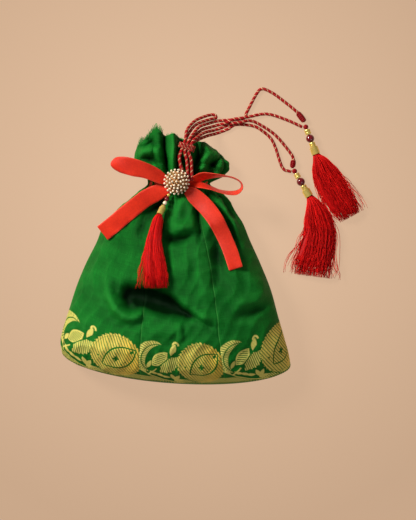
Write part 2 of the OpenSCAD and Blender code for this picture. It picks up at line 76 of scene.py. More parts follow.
def smoothLine(points, step):
    # a Catmull-Rom curve through given points, with its points even along it
    p = np.array(points, float)
    p = np.vstack([2 * p[0] - p[1], p, 2 * p[-1] - p[-2]])
    t = np.linspace(0, 1, 24, endpoint=False)[:, None]
    parts = []
    for a, b, c, d in zip(p[:-3], p[1:-2], p[2:-1], p[3:]):
        bend, twist = 2 * a - 5 * b + 4 * c - d, 3 * b - a - 3 * c + d
        parts.append(0.5 * (2 * b + (c - a) * t + bend * t**2 + twist * t**3))
    line = np.vstack(parts + [p[-2:-1]])
    along = distances(line)
    at = np.linspace(0, along[-1], max(2, int(round(along[-1] / step)) + 1))
    return np.stack([np.interp(at, along, line[:, k]) for k in range(line.shape[1])], axis=1)


def lineLength(line):
    return float(np.linalg.norm(np.diff(line, axis=0), axis=1).sum())


def frames(line):
    # a side and a top direction at each point, carried along without twist
    along = unit(np.gradient(line, axis=0))
    side = np.zeros_like(along)
    start = np.cross((0, 0, 1.0), along[0])
    side[0] = unit(start if np.linalg.norm(start) > 0.1 else np.cross((1.0, 0, 0), along[0]))
    for i in range(1, len(line)):
        s = side[i - 1] - along[i] * (side[i - 1] @ along[i])
        side[i] = unit(s)
    return along, side, np.cross(along, side)


def belong(piece, body, node):
    # a piece rides on its body in place of a CAD node
    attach(piece, body)
    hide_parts(node)


def makeMesh(name, points, faces, uv=None, faceMaterial=None, materials=(), smooth=True):
    # a piece from points in millimetres; faces are rows of point numbers
    mesh = bpy.data.meshes.new(name)
    faces = faces if isinstance(faces, list) else np.asarray(faces).tolist()
    mesh.from_pydata((np.asarray(points, float) * mm).tolist(), [], faces)
    if uv is not None:
        layer = mesh.uv_layers.new(name="place")
        index = np.zeros(len(mesh.loops), np.int32)
        mesh.loops.foreach_get("vertex_index", index)
        layer.data.foreach_set("uv", np.asarray(uv, np.float32)[index].ravel())
    for m in materials:
        mesh.materials.append(m)
    if faceMaterial is not None:
        mesh.polygons.foreach_set("material_index", np.asarray(faceMaterial, np.int32))
    mesh.polygons.foreach_set("use_smooth", [smooth] * len(mesh.polygons))
    mesh.update()
    piece = bpy.data.objects.new(name, mesh)
    scene.collection.objects.link(piece)
    return piece


def gridFaces(rows, cols, wrap=False, first=0):
    r, c = np.meshgrid(np.arange(rows - 1), np.arange(cols if wrap else cols - 1), indexing="ij")
    a = r * cols + c
    b = r * cols + (c + 1) % cols
    return (np.stack([a, b, b + cols, a + cols], -1) + first).reshape(-1, 4)


def tubeParts(line, radius, sides, first=0, along=None):
    # points, faces and uv of a round tube; radius is one number or one for each point
    tangent, side, top = frames(line)
    turn = np.linspace(0, 2 * math.pi, sides, endpoint=False)
    ring = side[:, None] * np.cos(turn)[None, :, None] + top[:, None] * np.sin(turn)[None, :, None]
    points = line[:, None] + ring * np.broadcast_to(np.asarray(radius, float), (len(line),))[:, None, None]
    faces = gridFaces(len(line), sides, True, first)
    if along is None:
        along = distances(line)
    uv = np.stack(np.broadcast_arrays((turn / (2 * math.pi))[None, :], along[:, None] / 100), -1)
    return points.reshape(-1, 3), faces, uv.reshape(-1, 2)


class Bundle:
    # collects tubes into the one mesh of a piece
    def __init__(self):
        self.points, self.faces, self.uv, self.kinds, self.count = [], [], [], [], 0
        self.caps, self.capKinds = [], []

    def tube(self, line, radius, sides, kind=0, closed=True):
        p, f, uv = tubeParts(line, radius, sides, self.count)
        if closed:
            self.caps += [list(range(self.count + sides - 1, self.count - 1, -1)),
                          list(range(self.count + len(p) - sides, self.count + len(p)))]
            self.capKinds += [kind, kind]
        self.points.append(p)
        self.faces.append(f)
        self.uv.append(uv)
        self.kinds.append(np.full(len(f), kind))
        self.count += len(p)

    def piece(self, name, materials):
        faces = np.vstack(self.faces).tolist() + self.caps
        kinds = np.concatenate(self.kinds).tolist() + self.capKinds
        return makeMesh(name, np.vstack(self.points), faces, np.vstack(self.uv), kinds, materials)


# Materials
class Wire:
    # one socket of a material; arithmetic on it adds Math nodes
    def __init__(self, finish, socket):
        self.finish, self.socket = finish, socket

    def math(self, operation, *others, clamp=False):
        return self.finish.node("Math", {"operation": operation, "use_clamp": clamp}, [self, *others])

    def __add__(self, o):
        return self.math("ADD", o)

    __radd__ = __add__

    def __mul__(self, o):
        return self.math("MULTIPLY", o)

    __rmul__ = __mul__

    def __sub__(self, o):
        return self.math("SUBTRACT", o)

    def __rsub__(self, o):
        return self.finish.node("Math", {"operation": "SUBTRACT"}, [o, self])

    def __truediv__(self, o):
        return self.math("DIVIDE", o)

    def __pow__(self, o):
        return self.math("POWER", o)

    def __abs__(self):
        return self.math("ABSOLUTE")

    def low(self, o):
        return self.math("MINIMUM", o)

    def high(self, o):
        return self.math("MAXIMUM", o)

    def clamp(self):
        return self.math("ADD", 0.0, clamp=True)


class Finish:
    # a node material; node() adds any node, with its settings first and then its sockets
    def __init__(self, name):
        self.material = bpy.data.materials.new(name)
        self.material.use_nodes = True
        self.tree = self.material.node_tree
        self.tree.nodes.clear()

    def node(self, kind, settings=None, inputs=None, output=0):
        n = self.tree.nodes.new("ShaderNode" + kind)
        for key, value in (settings or {}).items():
            setattr(n, key, value)
        pairs = enumerate(inputs) if isinstance(inputs, (list, tuple)) else (inputs or {}).items()
        for key, value in pairs:
            if value is None:
                continue
            socket = n.inputs[key]
            if isinstance(value, Wire):
                self.tree.links.new(value.socket, socket)
            elif isinstance(value, tuple) and len(value) == 3 and socket.type == "RGBA":
                socket.default_value = (*value, 1)
            else:
                socket.default_value = value
        self.last = n
        return Wire(self, n.outputs[output])

    def coat(self):
        # places on the piece itself, in metres
        return self.node("TexCoord", {}, None, 3)

    def noise(self, vector, scale, detail=2.0):
        return self.node("TexNoise", {}, {"Vector": vector, "Scale": scale, "Detail": detail})

    def bump(self, strength, distance, height):
        return self.node("Bump", {}, {"Strength": strength, "Distance": distance, "Height": height})

    def mix(self, share, a, b):
        return self.node("Mix", {"data_type": "RGBA"}, {0: share, 6: a, 7: b}, 2)

    def finish(self, **sockets):
        shader = self.node("BsdfPrincipled", {}, {k.replace("_", " "): v for k, v in sockets.items()})
        out = self.tree.nodes.new("ShaderNodeOutputMaterial")
        self.tree.links.new(shader.socket, out.inputs["Surface"])
        return self.material


def linear(r, g, b):
    # a colour given in display numbers from 0 to 255
    return tuple((c / 255 / 12.92) if c <= 10 else ((c / 255 + 0.055) / 1.055) ** 2.4 for c in (r, g, b))


def place(f):
    # distances in millimetres across and along a piece, from its own map
    uv = f.node("UVMap", {"uv_map": "place"})
    across = f.node("SeparateXYZ", {}, [uv])
    along = Wire(f, f.last.outputs[1])
    return across * 100, along * 100


def yarnFinish(name, dark, bright, twist=6.0, rough=0.42, metal=0.0):
    # spun thread: fine fibres run round each ply
    f = Finish(name)
    u, v = place(f)
    fibre = ((u * 0.01 * twist + v * 1.1) * (2 * math.pi)).math("SINE") * 0.5 + 0.5
    coat = f.coat()
    fleck = f.noise(coat, 900.0)
    shade = (fibre * 0.5 + fleck * 0.75 - 0.1).clamp()
    colour = f.mix(shade, dark, bright)
    bump = f.bump(0.5, 0.0002, fibre + fleck * 0.5)
    return f.finish(Base_Color=colour, Roughness=rough, Metallic=metal, Normal=bump, Sheen_Weight=0.06,
                    Sheen_Roughness=0.4, Specular_IOR_Level=0.2)


redYarn = yarnFinish("redYarn", linear(100, 2, 4), linear(214, 18, 22))
goldYarn = yarnFinish("goldYarn", linear(150, 84, 54), linear(246, 196, 150), metal=0.2, rough=0.35)
darkYarn = yarnFinish("darkRedThread", linear(96, 2, 4), linear(186, 12, 20))


# Cords
cordSet = {
    "diameter": 2.8, "pitch": 4.6, "step": 0.36, "sides": 7,
    # the sack holds the ends up to the first of these, and the drawstring moves the rest past the second
    "heldTo": (14, 70.5, 25), "freeFrom": (23, 85, 25),
}
cordRoutes = {
    "upperLoopOut": [
        (10.7, 66, 27.7), (9.5, 83, 27.7), (8, 91.5, 27.7), (11.4, 100.7, 27.7), (14.8, 106.5, 23.5),
        (20.5, 113.5, 15), (28.5, 117, 6), (38, 119.6, 1.7), (59, 121.6, 1.7), (62.5, 127.5, 1.7),
        (71, 143.5, 1.7), (76, 147.8, 1.7), (84, 144.8, 1.7), (93, 138.5, 1.7), (107.2, 126.8, 3),
        (113.3, 118.9, 3)],
    "upperLoopBack": [
        (10.7, 69.5, 24.5), (9.5, 83, 24.5), (8, 91.5, 24.5), (11, 99.5, 24.5), (15.8, 104.8, 20.5),
        (22.8, 111, 13), (30.5, 113.8, 5), (37.5, 116, 1.9), (42, 117, 4), (46, 118.6, 4.8),
        (49.5, 120.5, 5.2), (53, 121.2, 5.1), (59, 122, 5), (64, 123, 3.2), (80, 125.6, 1.7),
        (97, 120.6, 1.9), (111, 114.2, 3)],
    "lowerLoopOut": [
        (13.9, 66, 27.7), (13.4, 83, 27.7), (11.3, 91.2, 27.7), (14.6, 99.7, 27.7), (18.3, 103.8, 23.6),
        (25.2, 108.6, 13), (32.5, 110.8, 4.5), (39, 113, 1.7), (46, 115.9, 2.4), (49.5, 117.3, 4.1),
        (53, 117.6, 4.9), (59, 118.5, 4.9), (64, 119.6, 3.2), (71.5, 117.6, 1.7), (87, 107.4, 1.7),
        (100, 92.3, 2), (103.6, 85.2, 2.8), (102.6, 78, 2.8)],
    "lowerLoopBack": [
        (13.9, 69.5, 24.5), (13.4, 83, 24.5), (11.3, 91.2, 24.5), (14.1, 98.5, 24.5), (19.4, 101.9, 20.8),
        (27.4, 105.8, 11), (34, 107.8, 4), (39, 109.6, 1.7), (46, 112.4, 1.7), (53, 116.2, 1.7),
        (68, 115, 1.7), (77, 110, 1.7), (84, 103.4, 1.7), (88, 95, 1.7), (94, 78, 1.7),
        (101.4, 74.6, 3)],
    "shortLoop": [
        (7.5, 66, 27.7), (3.2, 84, 27.7), (4.8, 91.9, 27.7), (8.1, 101, 27.7), (9.6, 110, 24.3),
        (16.2, 118.4, 15.5), (24.5, 122.8, 8), (31, 124.8, 3.6), (34.6, 124.2, 3), (34.8, 121.8, 3),
        (31, 121, 4.8), (18.6, 116.1, 14), (12.2, 108.9, 21.5), (7.9, 100.2, 24.5), (4.8, 91.9, 24.5),
        (3.2, 84, 24.5), (7.5, 69.5, 24.5)],
}
cordNode = {"upperLoopOut": "upper_loop_cord", "upperLoopBack": "upper_loop_cord",
            "lowerLoopOut": "lower_loop_cord", "lowerLoopBack": "lower_loop_cord",
            "shortLoop": "short_loop_cord"}


def twistedTubes(bundle, line, diameter, pitch, kinds, sides, turnAt=0.0):
    # plies laid side by side round the line, one tube each
    plies = len(kinds)
    around = 1 / math.sin(math.pi / plies)
    plyRadius = diameter / 2 / (1 + around)
    tangent, side, top = frames(line)
    along = distances(line)
    for k, kind in enumerate(kinds):
        turn = turnAt + 2 * math.pi * (along / pitch + k / plies)
        ply = line + (side * np.cos(turn)[:, None] + top * np.sin(turn)[:, None]) * plyRadius * around
        bundle.tube(ply, plyRadius * (1.12 if kind == 0 else 1.0), sides, kind)


# three red plies and a gold one
plyKinds = (0, 0, 0, 1)
cords = {}
for name, route in cordRoutes.items():
    line = smoothLine(route, cordSet["step"])
    bundle = Bundle()
    twistedTubes(bundle, line, cordSet["diameter"], cordSet["pitch"], plyKinds, cordSet["sides"],
                 draw.uniform(0, 6))
    cord = bundle.piece(name, [redYarn, goldYarn])
    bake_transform(cord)
    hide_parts(cordNode[name])
    cords[name] = (cord, line)
    print("cord", name, round(lineLength(line), 1), "mm")


# The sack: fabric, folds and border
sackSet = {
    "fabric": 0.8, "columnsFront": 120, "rows": 330, "columnsBack": 54, "rowsBack": 150,
    "seams": (-14, 64.5, 107.5, 180, 252.5, 295.5, 346), "panelWidth": 73,
}
# y, half width, thickness, bow, tilt, centre x, lift off the table
sackStations = [
    (-89.5, 100, 30, 20.5, -6, 0, 0), (-80, 99.5, 42, 20, -5, -1.5, 0), (-68, 96.5, 49, 19, -4, -2.2, 0),
    (-50, 91, 52, 17, -3, -2.2, 0), (-28, 84.5, 51, 14, -2, -2, 0), (-7, 76, 48, 10, -1, -2.2, 0),
    (12, 67, 43, 6.5, 0, -2.2, 0), (28, 60.5, 38, 3.5, 0, -2.6, 0), (36, 54, 34.5, 2, 0, -1.5, 0),
    (43, 47.5, 31, 1, 0, 0.5, 0), (50, 40.5, 27, 0.5, 0, 2, 0), (56, 33, 22.5, 0, 0, 3, 0.4),
    (60, 26.5, 19, 0, 0, 2, 1.2), (63, 24.6, 18, 0, 0, 2, 1.2), (65.5, 24.6, 18, 0, 0, 2, 1.2),
    (73, 26.5, 18, 0, 0, 2, 1.2), (77, 34, 20.5, -2, 0, 3, 0.6), (82, 40, 22, -6, -1, 4, 0),
    (86, 39, 19, -12, -3, 3, 0), (89, 37, 16, -20.5, -4, 2.5, 0)]
# how far the rim stands past its plain curve, by the place across the mouth from -1 to 1
rimAt = [(-1, 0), (-0.85, -3.0), (-0.7, 0.5), (-0.53, 4.2), (-0.42, 0), (-0.34, -4.4), (-0.12, -2.6), (0, -6),
         (0.2, -8), (0.45, -5), (0.58, -3.4), (0.82, -3.3), (1, 0)]


def stationCurve(count):
    # the stations with smooth rows between them
    table = np.array(sackStations, float)
    rows = []
    at = np.linspace(0, len(table) - 1, count)
    for k in range(table.shape[1]):
        value = table[:, k]
        slope = np.gradient(value)
        i = np.clip(at.astype(int), 0, len(table) - 2)
        t = at - i
        a, b = value[i], value[i + 1]
        step = b - a
        ma, mb = (np.where(np.sign(m) * np.sign(step) < 0, 0, np.sign(m) * np.minimum(abs(m), 3 * abs(step)))
                  for m in (slope[i], slope[i + 1]))
        rows.append(a * (2 * t**3 - 3 * t**2 + 1) + ma * (t**3 - 2 * t**2 + t)
                    + b * (3 * t**2 - 2 * t**3) + mb * (t**3 - t**2))
    return np.stack(rows, 1)


def heightAt(turn):
    s = np.sin(turn)
    return np.where(s >= 0, 0.3 + 0.7 * s, np.maximum(0, 0.3 - 0.39 * np.maximum(-s, 0) ** 0.7))


def smoothStep(a, b, x):
    t = np.clip((x - a) / (b - a), 0, 1)
    return t * t * (3 - 2 * t)


# folds drawn on the front, from above: points (x, y), height at each, half width on the left
# and on the right of the line's direction
foldLines = [
    # the slumped pocket under the front tassel, its lip and the roll at its left
    ([(-50, -31), (-38, -36), (-24, -41), (-8, -44), (8, -49), (22, -56)], (-2, -7, -10, -11, -8, -1), 10, 8),
    ([(-38, -30), (-20, -33), (-2, -38)], (-4, -7, -5), 8, 8),
    ([(-12, -28), (0, -36), (14, -46), (26, -54), (34, -58)], (1.5, 4.5, 5.5, 4, 1), 6, 4.2),
    ([(4, -45), (16, -53), (28, -60), (36, -63)], (0, -1.8, -1.8, 0), 3.4, 3.4),
    ([(10, -54), (20, -59), (32, -65)], (0, 1.2, 0), 3.2, 3.2),
    ([(-60, -14), (-58.5, -28), (-55, -40), (-49, -49), (-41, -53.5), (-33, -52), (-29, -47)],
     (0, 2.5, 4.5, 5, 4.5, 3.5, 0), 5, 4.2),
    ([(-44, -38), (-40, -45), (-34, -46)], (-2, -4, -2), 4, 4),
    ([(-26, -62), (-8, -66), (8, -64)], (0, 2.4, 0), 8, 7),
    ([(2, -56), (4, -66), (3, -76)], (0, 1.6, 0), 3, 3),
    # the short slump under the knot
    ([(-12, 19), (-2, 14.5), (8, 15.5), (18, 22)], (-1, -5, -5, -1), 5.5, 5),
    ([(-12, 30), (0, 25), (12, 26), (19, 33)], (1, 3, 3, 1), 6, 6),
    ([(-14, 44), (-12, 30), (-13, 16)], (-2, -3.5, -1), 4, 4),
    # valleys and ridges that run down from the knot
    ([(14, 54), (19, 40), (20.5, 26), (22, 8)], (-3, -5.5, -4.5, 0), 4, 4),
    ([(20, 53), (30, 42), (37, 30), (42, 14)], (1, 2, 2, 0), 4, 4),
    ([(26, 50), (38, 38), (46, 26), (52, 10), (55, -6)], (-2, -4.5, -5, -3, 0), 4.5, 4.5),
    ([(31, 54), (43, 42), (53, 26), (60, 8)], (2, 3.5, 3, 0), 4, 5),
    ([(38, 50), (49, 38), (57, 22)], (-1.5, -3, 0), 3, 3),
    ([(34, 30), (36, 10), (38, -12), (40, -30)], (0, -4, -4, 0), 10, 8),
    ([(-12, 50), (-22, 40), (-29, 26), (-33, 10)], (-1, -3, -2.5, 0), 5, 5),
    ([(-22, 52), (-34, 40), (-42, 26)], (0, 2.4, 0), 5, 5),
    ([(-30, 50), (-42, 38), (-50, 22)], (-1, -2.6, 0), 4, 4),
    ([(6, 50), (3, 40), (2, 30)], (2, 2.6, 0.5), 5, 5),
    # wide, low folds of the lower body
    ([(84, -40), (66, -48), (46, -59)], (0, -3, 0), 6, 7),
    ([(84, -32), (66, -40), (48, -50)], (0, 2.2, 0), 6, 6),
    ([(-88, -30), (-76, -36), (-66, -34)], (0, -2.4, 0), 8, 8),
    ([(-70, -52), (-52, -62), (-34, -64)], (0, -2, 0), 6, 6),
    ([(20, -4), (24, -24), (30, -40)], (0, 2, 0), 7, 5),
    ([(12, 4), (8, -10), (4, -22)], (0, 2.2, 0), 8, 8),
    ([(62, 0), (70, -24), (78, -46)], (0, 2, 0), 8, 8),
    # frill: hollow and fold at the left of the cords, and the lobes either side
    ([(-5, 72), (-8, 82), (-10, 92), (-10.5, 106)], (-2, -6, -7, -5), 3.2, 3.2),
    ([(-2, 72), (-2.6, 84), (-2, 96), (-3, 108)], (1.5, 4, 4.6, 3.5), 2.6, 2.4),
    ([(3.5, 74), (3.5, 86), (5, 102)], (-3, -5, -5), 3, 3),
    ([(-36, 88), (-27, 92), (-18, 92), (-12, 86)], (1, 3.6, 3.4, 0), 4.5, 4),
    ([(-30, 82), (-20, 83.5), (-9, 76)], (-2, -3.4, -2), 3, 3),
    ([(-24, 77), (-15, 79), (-8, 73)], (1, 2.4, 0), 2.4, 2.4),
    ([(-24, 103), (-18, 98), (-13, 98)], (-2.6, -2.4, 0), 3, 3),
    ([(13, 76), (18, 84), (20, 92), (18, 102)], (-3, -6, -5, -4), 4.5, 4),
    ([(22, 74), (25, 84), (31, 89), (38, 86)], (1, 3, 3.6, 0), 4, 3.4),
    ([(24, 80), (31, 80), (37, 76)], (-2, -5, -1.5), 3.2, 3.2),
    ([(22, 97), (28, 94), (34, 91)], (0, 3, 0), 3, 3),
    ([(26, 101), (32, 96), (37, 92)], (-3, -3, -1), 2.4, 2.4),
    ([(27, 73), (36, 78), (43, 80)], (0, 2.4, 0), 3, 3),
    ([(-34, 96), (-26, 97), (-20, 103)], (-1, -2.6, -1), 2.2, 2.2),
    ([(-33, 84), (-25, 87), (-15, 85)], (0, -2.8, 0), 2.4, 2.4),
    ([(-14, 76), (-19, 88), (-20, 100)], (0, -2.4, -1), 2.6, 2.6),
    ([(28, 76), (36, 84), (41, 90)], (-1, -3, -1), 2.4, 2.4),
    ([(16, 74), (24, 78), (30, 84)], (0, 2.6, 0), 2.4, 2.4),
    ([(24, 98), (30, 100), (35, 97)], (0, 1.8, 0), 2.4, 2.4),
]


foldScale = 1.35


def foldHeight(x, y):
    # how far the front is raised at each place, seen from above
    total = np.zeros_like(x)
    for points, heights, left, right in foldLines:
        p = np.array(points, float)
        best = np.full(x.shape, 1e9)
        value = np.zeros_like(x)
        fine = smoothLine(np.column_stack([p, np.array(heights, float)]), 2.0)
        for a, b in zip(fine[:-1], fine[1:]):
            d = b[:2] - a[:2]
            long = d @ d
            t = np.clip(((x - a[0]) * d[0] + (y - a[1]) * d[1]) / long, 0, 1)
            dx, dy = x - a[0] - t * d[0], y - a[1] - t * d[1]
            far = dx * dx + dy * dy
            onLeft = d[0] * dy - d[1] * dx > 0
            wide = np.where(onLeft, left, right)
            near = far < best
            best = np.where(near, far, best)
            height = a[2] + t * (b[2] - a[2])
            value = np.where(near, height * np.exp(-far / (2 * (wide * 0.62) ** 2)), value)
        total += value
    return total


# pleats that the casing gathers: angle round the sack, half width in degrees, height, reach down and up
pleats = [
    (8, 6, 2.6, 34, 20), (20, 5, -2.4, 30, 24), (31, 5, 2.2, 40, 18), (43, 5, -2.6, 36, 22),
    (54, 4.5, 2, 26, 20), (66, 4.5, -2.4, 30, 20), (78, 5, 2.2, 22, 22), (90, 5, -1.8, 26, 22),
    (101, 5, 2, 24, 24), (112, 5, -2.8, 32, 18), (124, 5, 2.2, 40, 22), (135, 5, -2.4, 34, 24),
    (147, 5, 2.4, 30, 18), (158, 5, -2.2, 40, 22), (170, 6, 2.4, 32, 20), (188, 6, -1.8, 30, 18),
    (204, 7, 1.6, 40, 22), (222, 7, -1.8, 34, 20), (240, 7, 1.6, 30, 24), (258, 7, -1.8, 38, 18),
    (276, 7, 1.6, 30, 22), (294, 7, -1.8, 36, 22), (312, 7, 1.6, 30, 20), (330, 7, -1.8, 34, 22),
    (348, 6, 1.6, 30, 20)]


def pleatHeight(turn, y):
    degrees = np.degrees(turn) % 360
    total = np.zeros_like(y)
    for at, wide, height, down, up in pleats:
        off = (degrees - at + 180) % 360 - 180
        reach = np.where(y < 64, np.exp(-(((64 - y) / down) ** 2)), np.exp(-(((y - 64) / up) ** 2)))
        total += height * reach * np.exp(-((off / wide) ** 2))
    return total


lobeSet = {"right": 12.5, "at": 73}


def bodySection(table, turn):
    # x, y and z of the plain sack at each row and angle, and the outward direction round it
    y0, half, thick, bow, tilt, middle, lift = (table[:, k][:, None] for k in range(7))
    t = turn[None, :]
    x = middle + half * np.cos(t)
    u = np.cos(t)
    frill = smoothStep(77, 89, y0)
    rim = np.interp(u, [r[0] for r in rimAt], [r[1] for r in rimAt])
    y = y0 + tilt * u - bow * np.abs(np.sin(t)) + frill * rim * np.where(np.sin(t) >= 0, 1, 0.8)
    z = lift + thick * heightAt(t)
    lobe = lobeSet["right"] * np.exp(-((y0 - lobeSet["at"]) / np.where(y0 < lobeSet["at"], 4.2, 6.0)) ** 2)
    x = x + lobe * smoothStep(0.2, 1, u)
    return x, y, z


crumpleSet = {"waves": 9, "shortest": 11, "longest": 30, "height": 0.34}
crumpleWaves = [(draw.uniform(0, math.pi), draw.uniform(crumpleSet["shortest"], crumpleSet["longest"]),
                 draw.uniform(0, 2 * math.pi), draw.uniform(0.6, 1.4)) for _ in range(crumpleSet["waves"])]


def crumple(x, y):
    # small soft creases all over, as filled silk has
    bentX = x + 5 * np.sin(y / 19 + 0.4) + 2.5 * np.sin(y / 7.3 + x / 23)
    bentY = y + 5 * np.sin(x / 17 + 1.9) + 2.5 * np.sin(x / 8.1 - y / 29)
    total = np.zeros_like(x)
    for heading, length, phase, share in crumpleWaves:
        wave = (bentX * math.cos(heading) + bentY * math.sin(heading)) * 2 * math.pi / length + phase
        total += share * (1 - 1.6 * np.abs(np.sin(wave / 2)) ** 0.8)
    return total * crumpleSet["height"]


swingSet = {"x": -5, "y": 58, "heading": -114.3, "half": 15, "sink": 0.8, "nearKnot": 2.2, "room": 5}


def sackGrid(rows, turn, inset=0.0, folds=True):
    table = stationCurve(rows)
    x, y, z = bodySection(table, turn)
    y0OfRows = table[:, 0][:, None]
    grid = np.stack([x, y, z], -1)
    along = unit(np.gradient(grid, axis=0))
    across = unit(np.gradient(grid, axis=1)) if len(turn) > 1 else along
    normal = unit(np.cross(across, along))
    normal *= np.sign((normal * (grid - grid.mean(1, keepdims=True))).sum(-1, keepdims=True))
    t = np.broadcast_to(turn[None, :], x.shape)
    lifted = np.zeros_like(x)
    if folds:
        soft = smoothStep(-96, -78, y0OfRows) * (1 - 0.6 * smoothStep(50, 62, y0OfRows))
        creases = crumple(x, y + 60 * (np.sin(t) < 0))
        lifted += pleatHeight(t, y) + creases * soft * smoothStep(0, 0.2, np.abs(np.sin(t)))
        front = smoothStep(0.02, 0.34, np.sin(t))
        fold = foldHeight(x, y) * front * foldScale
        # nothing stands up where the front tassel swings
        dx, dy = x - swingSet["x"], y - swingSet["y"]
        off = np.abs((np.degrees(np.arctan2(dy, dx)) - swingSet["heading"] + 180) % 360 - 180)
        off = np.maximum(0, off - np.degrees(np.arctan2(swingSet["room"], np.hypot(dx, dy))))
        clear = 1 - smoothStep(swingSet["half"], swingSet["half"] + 12, off) * (np.hypot(dx, dy) > 0)
        clear = clear * (1 - smoothStep(56, 78, np.hypot(dx, dy))) * front
        sink = swingSet["sink"] + swingSet["nearKnot"] * (1 - smoothStep(14, 34, np.hypot(dx, dy)))
        fold = np.where(fold > 0, fold * (1 - clear), fold) - clear * sink
        lifted = np.where(lifted > 0, lifted * (1 - clear), lifted)
        grid[..., 2] += fold
    # painted shade and highlight for the silk's colour: darker where the cloth sinks, lighter where it rises
    shade = lifted * 0.16 + (fold * 0.085 if folds else 0)
    grid = grid + normal * (lifted - inset)[..., None]
    grid[..., 2] = np.maximum(grid[..., 2], 0.25 + inset)
    return grid, np.clip(shade, -1, 1)


# Silk with a woven gold border. The map of each panel holds millimetres: across from its left
# seam as it is seen, and up from the hem
def turned(x, y, cx, cy, degrees):
    c, s = math.cos(math.radians(degrees)), math.sin(math.radians(degrees))
    return (x - cx) * c + (y - cy) * s, (y - cy) * c - (x - cx) * s


def inside(depth, soft=0.25):
    # 1 where a distance into a shape is above 0, with a soft edge
    return (depth * (0.5 / soft) + 0.5).clamp()


def leaf(a, b, half, wide):
    # a pointed oval, half long and wide from its middle line
    return (1 - (a / half).math("POWER", 2.0)) * wide - abs(b)


def stripes(f, across, period, share, soft=0.16):
    wave = across.math("PINGPONG", period / 2)
    return inside(share * period / 2 - wave, soft)


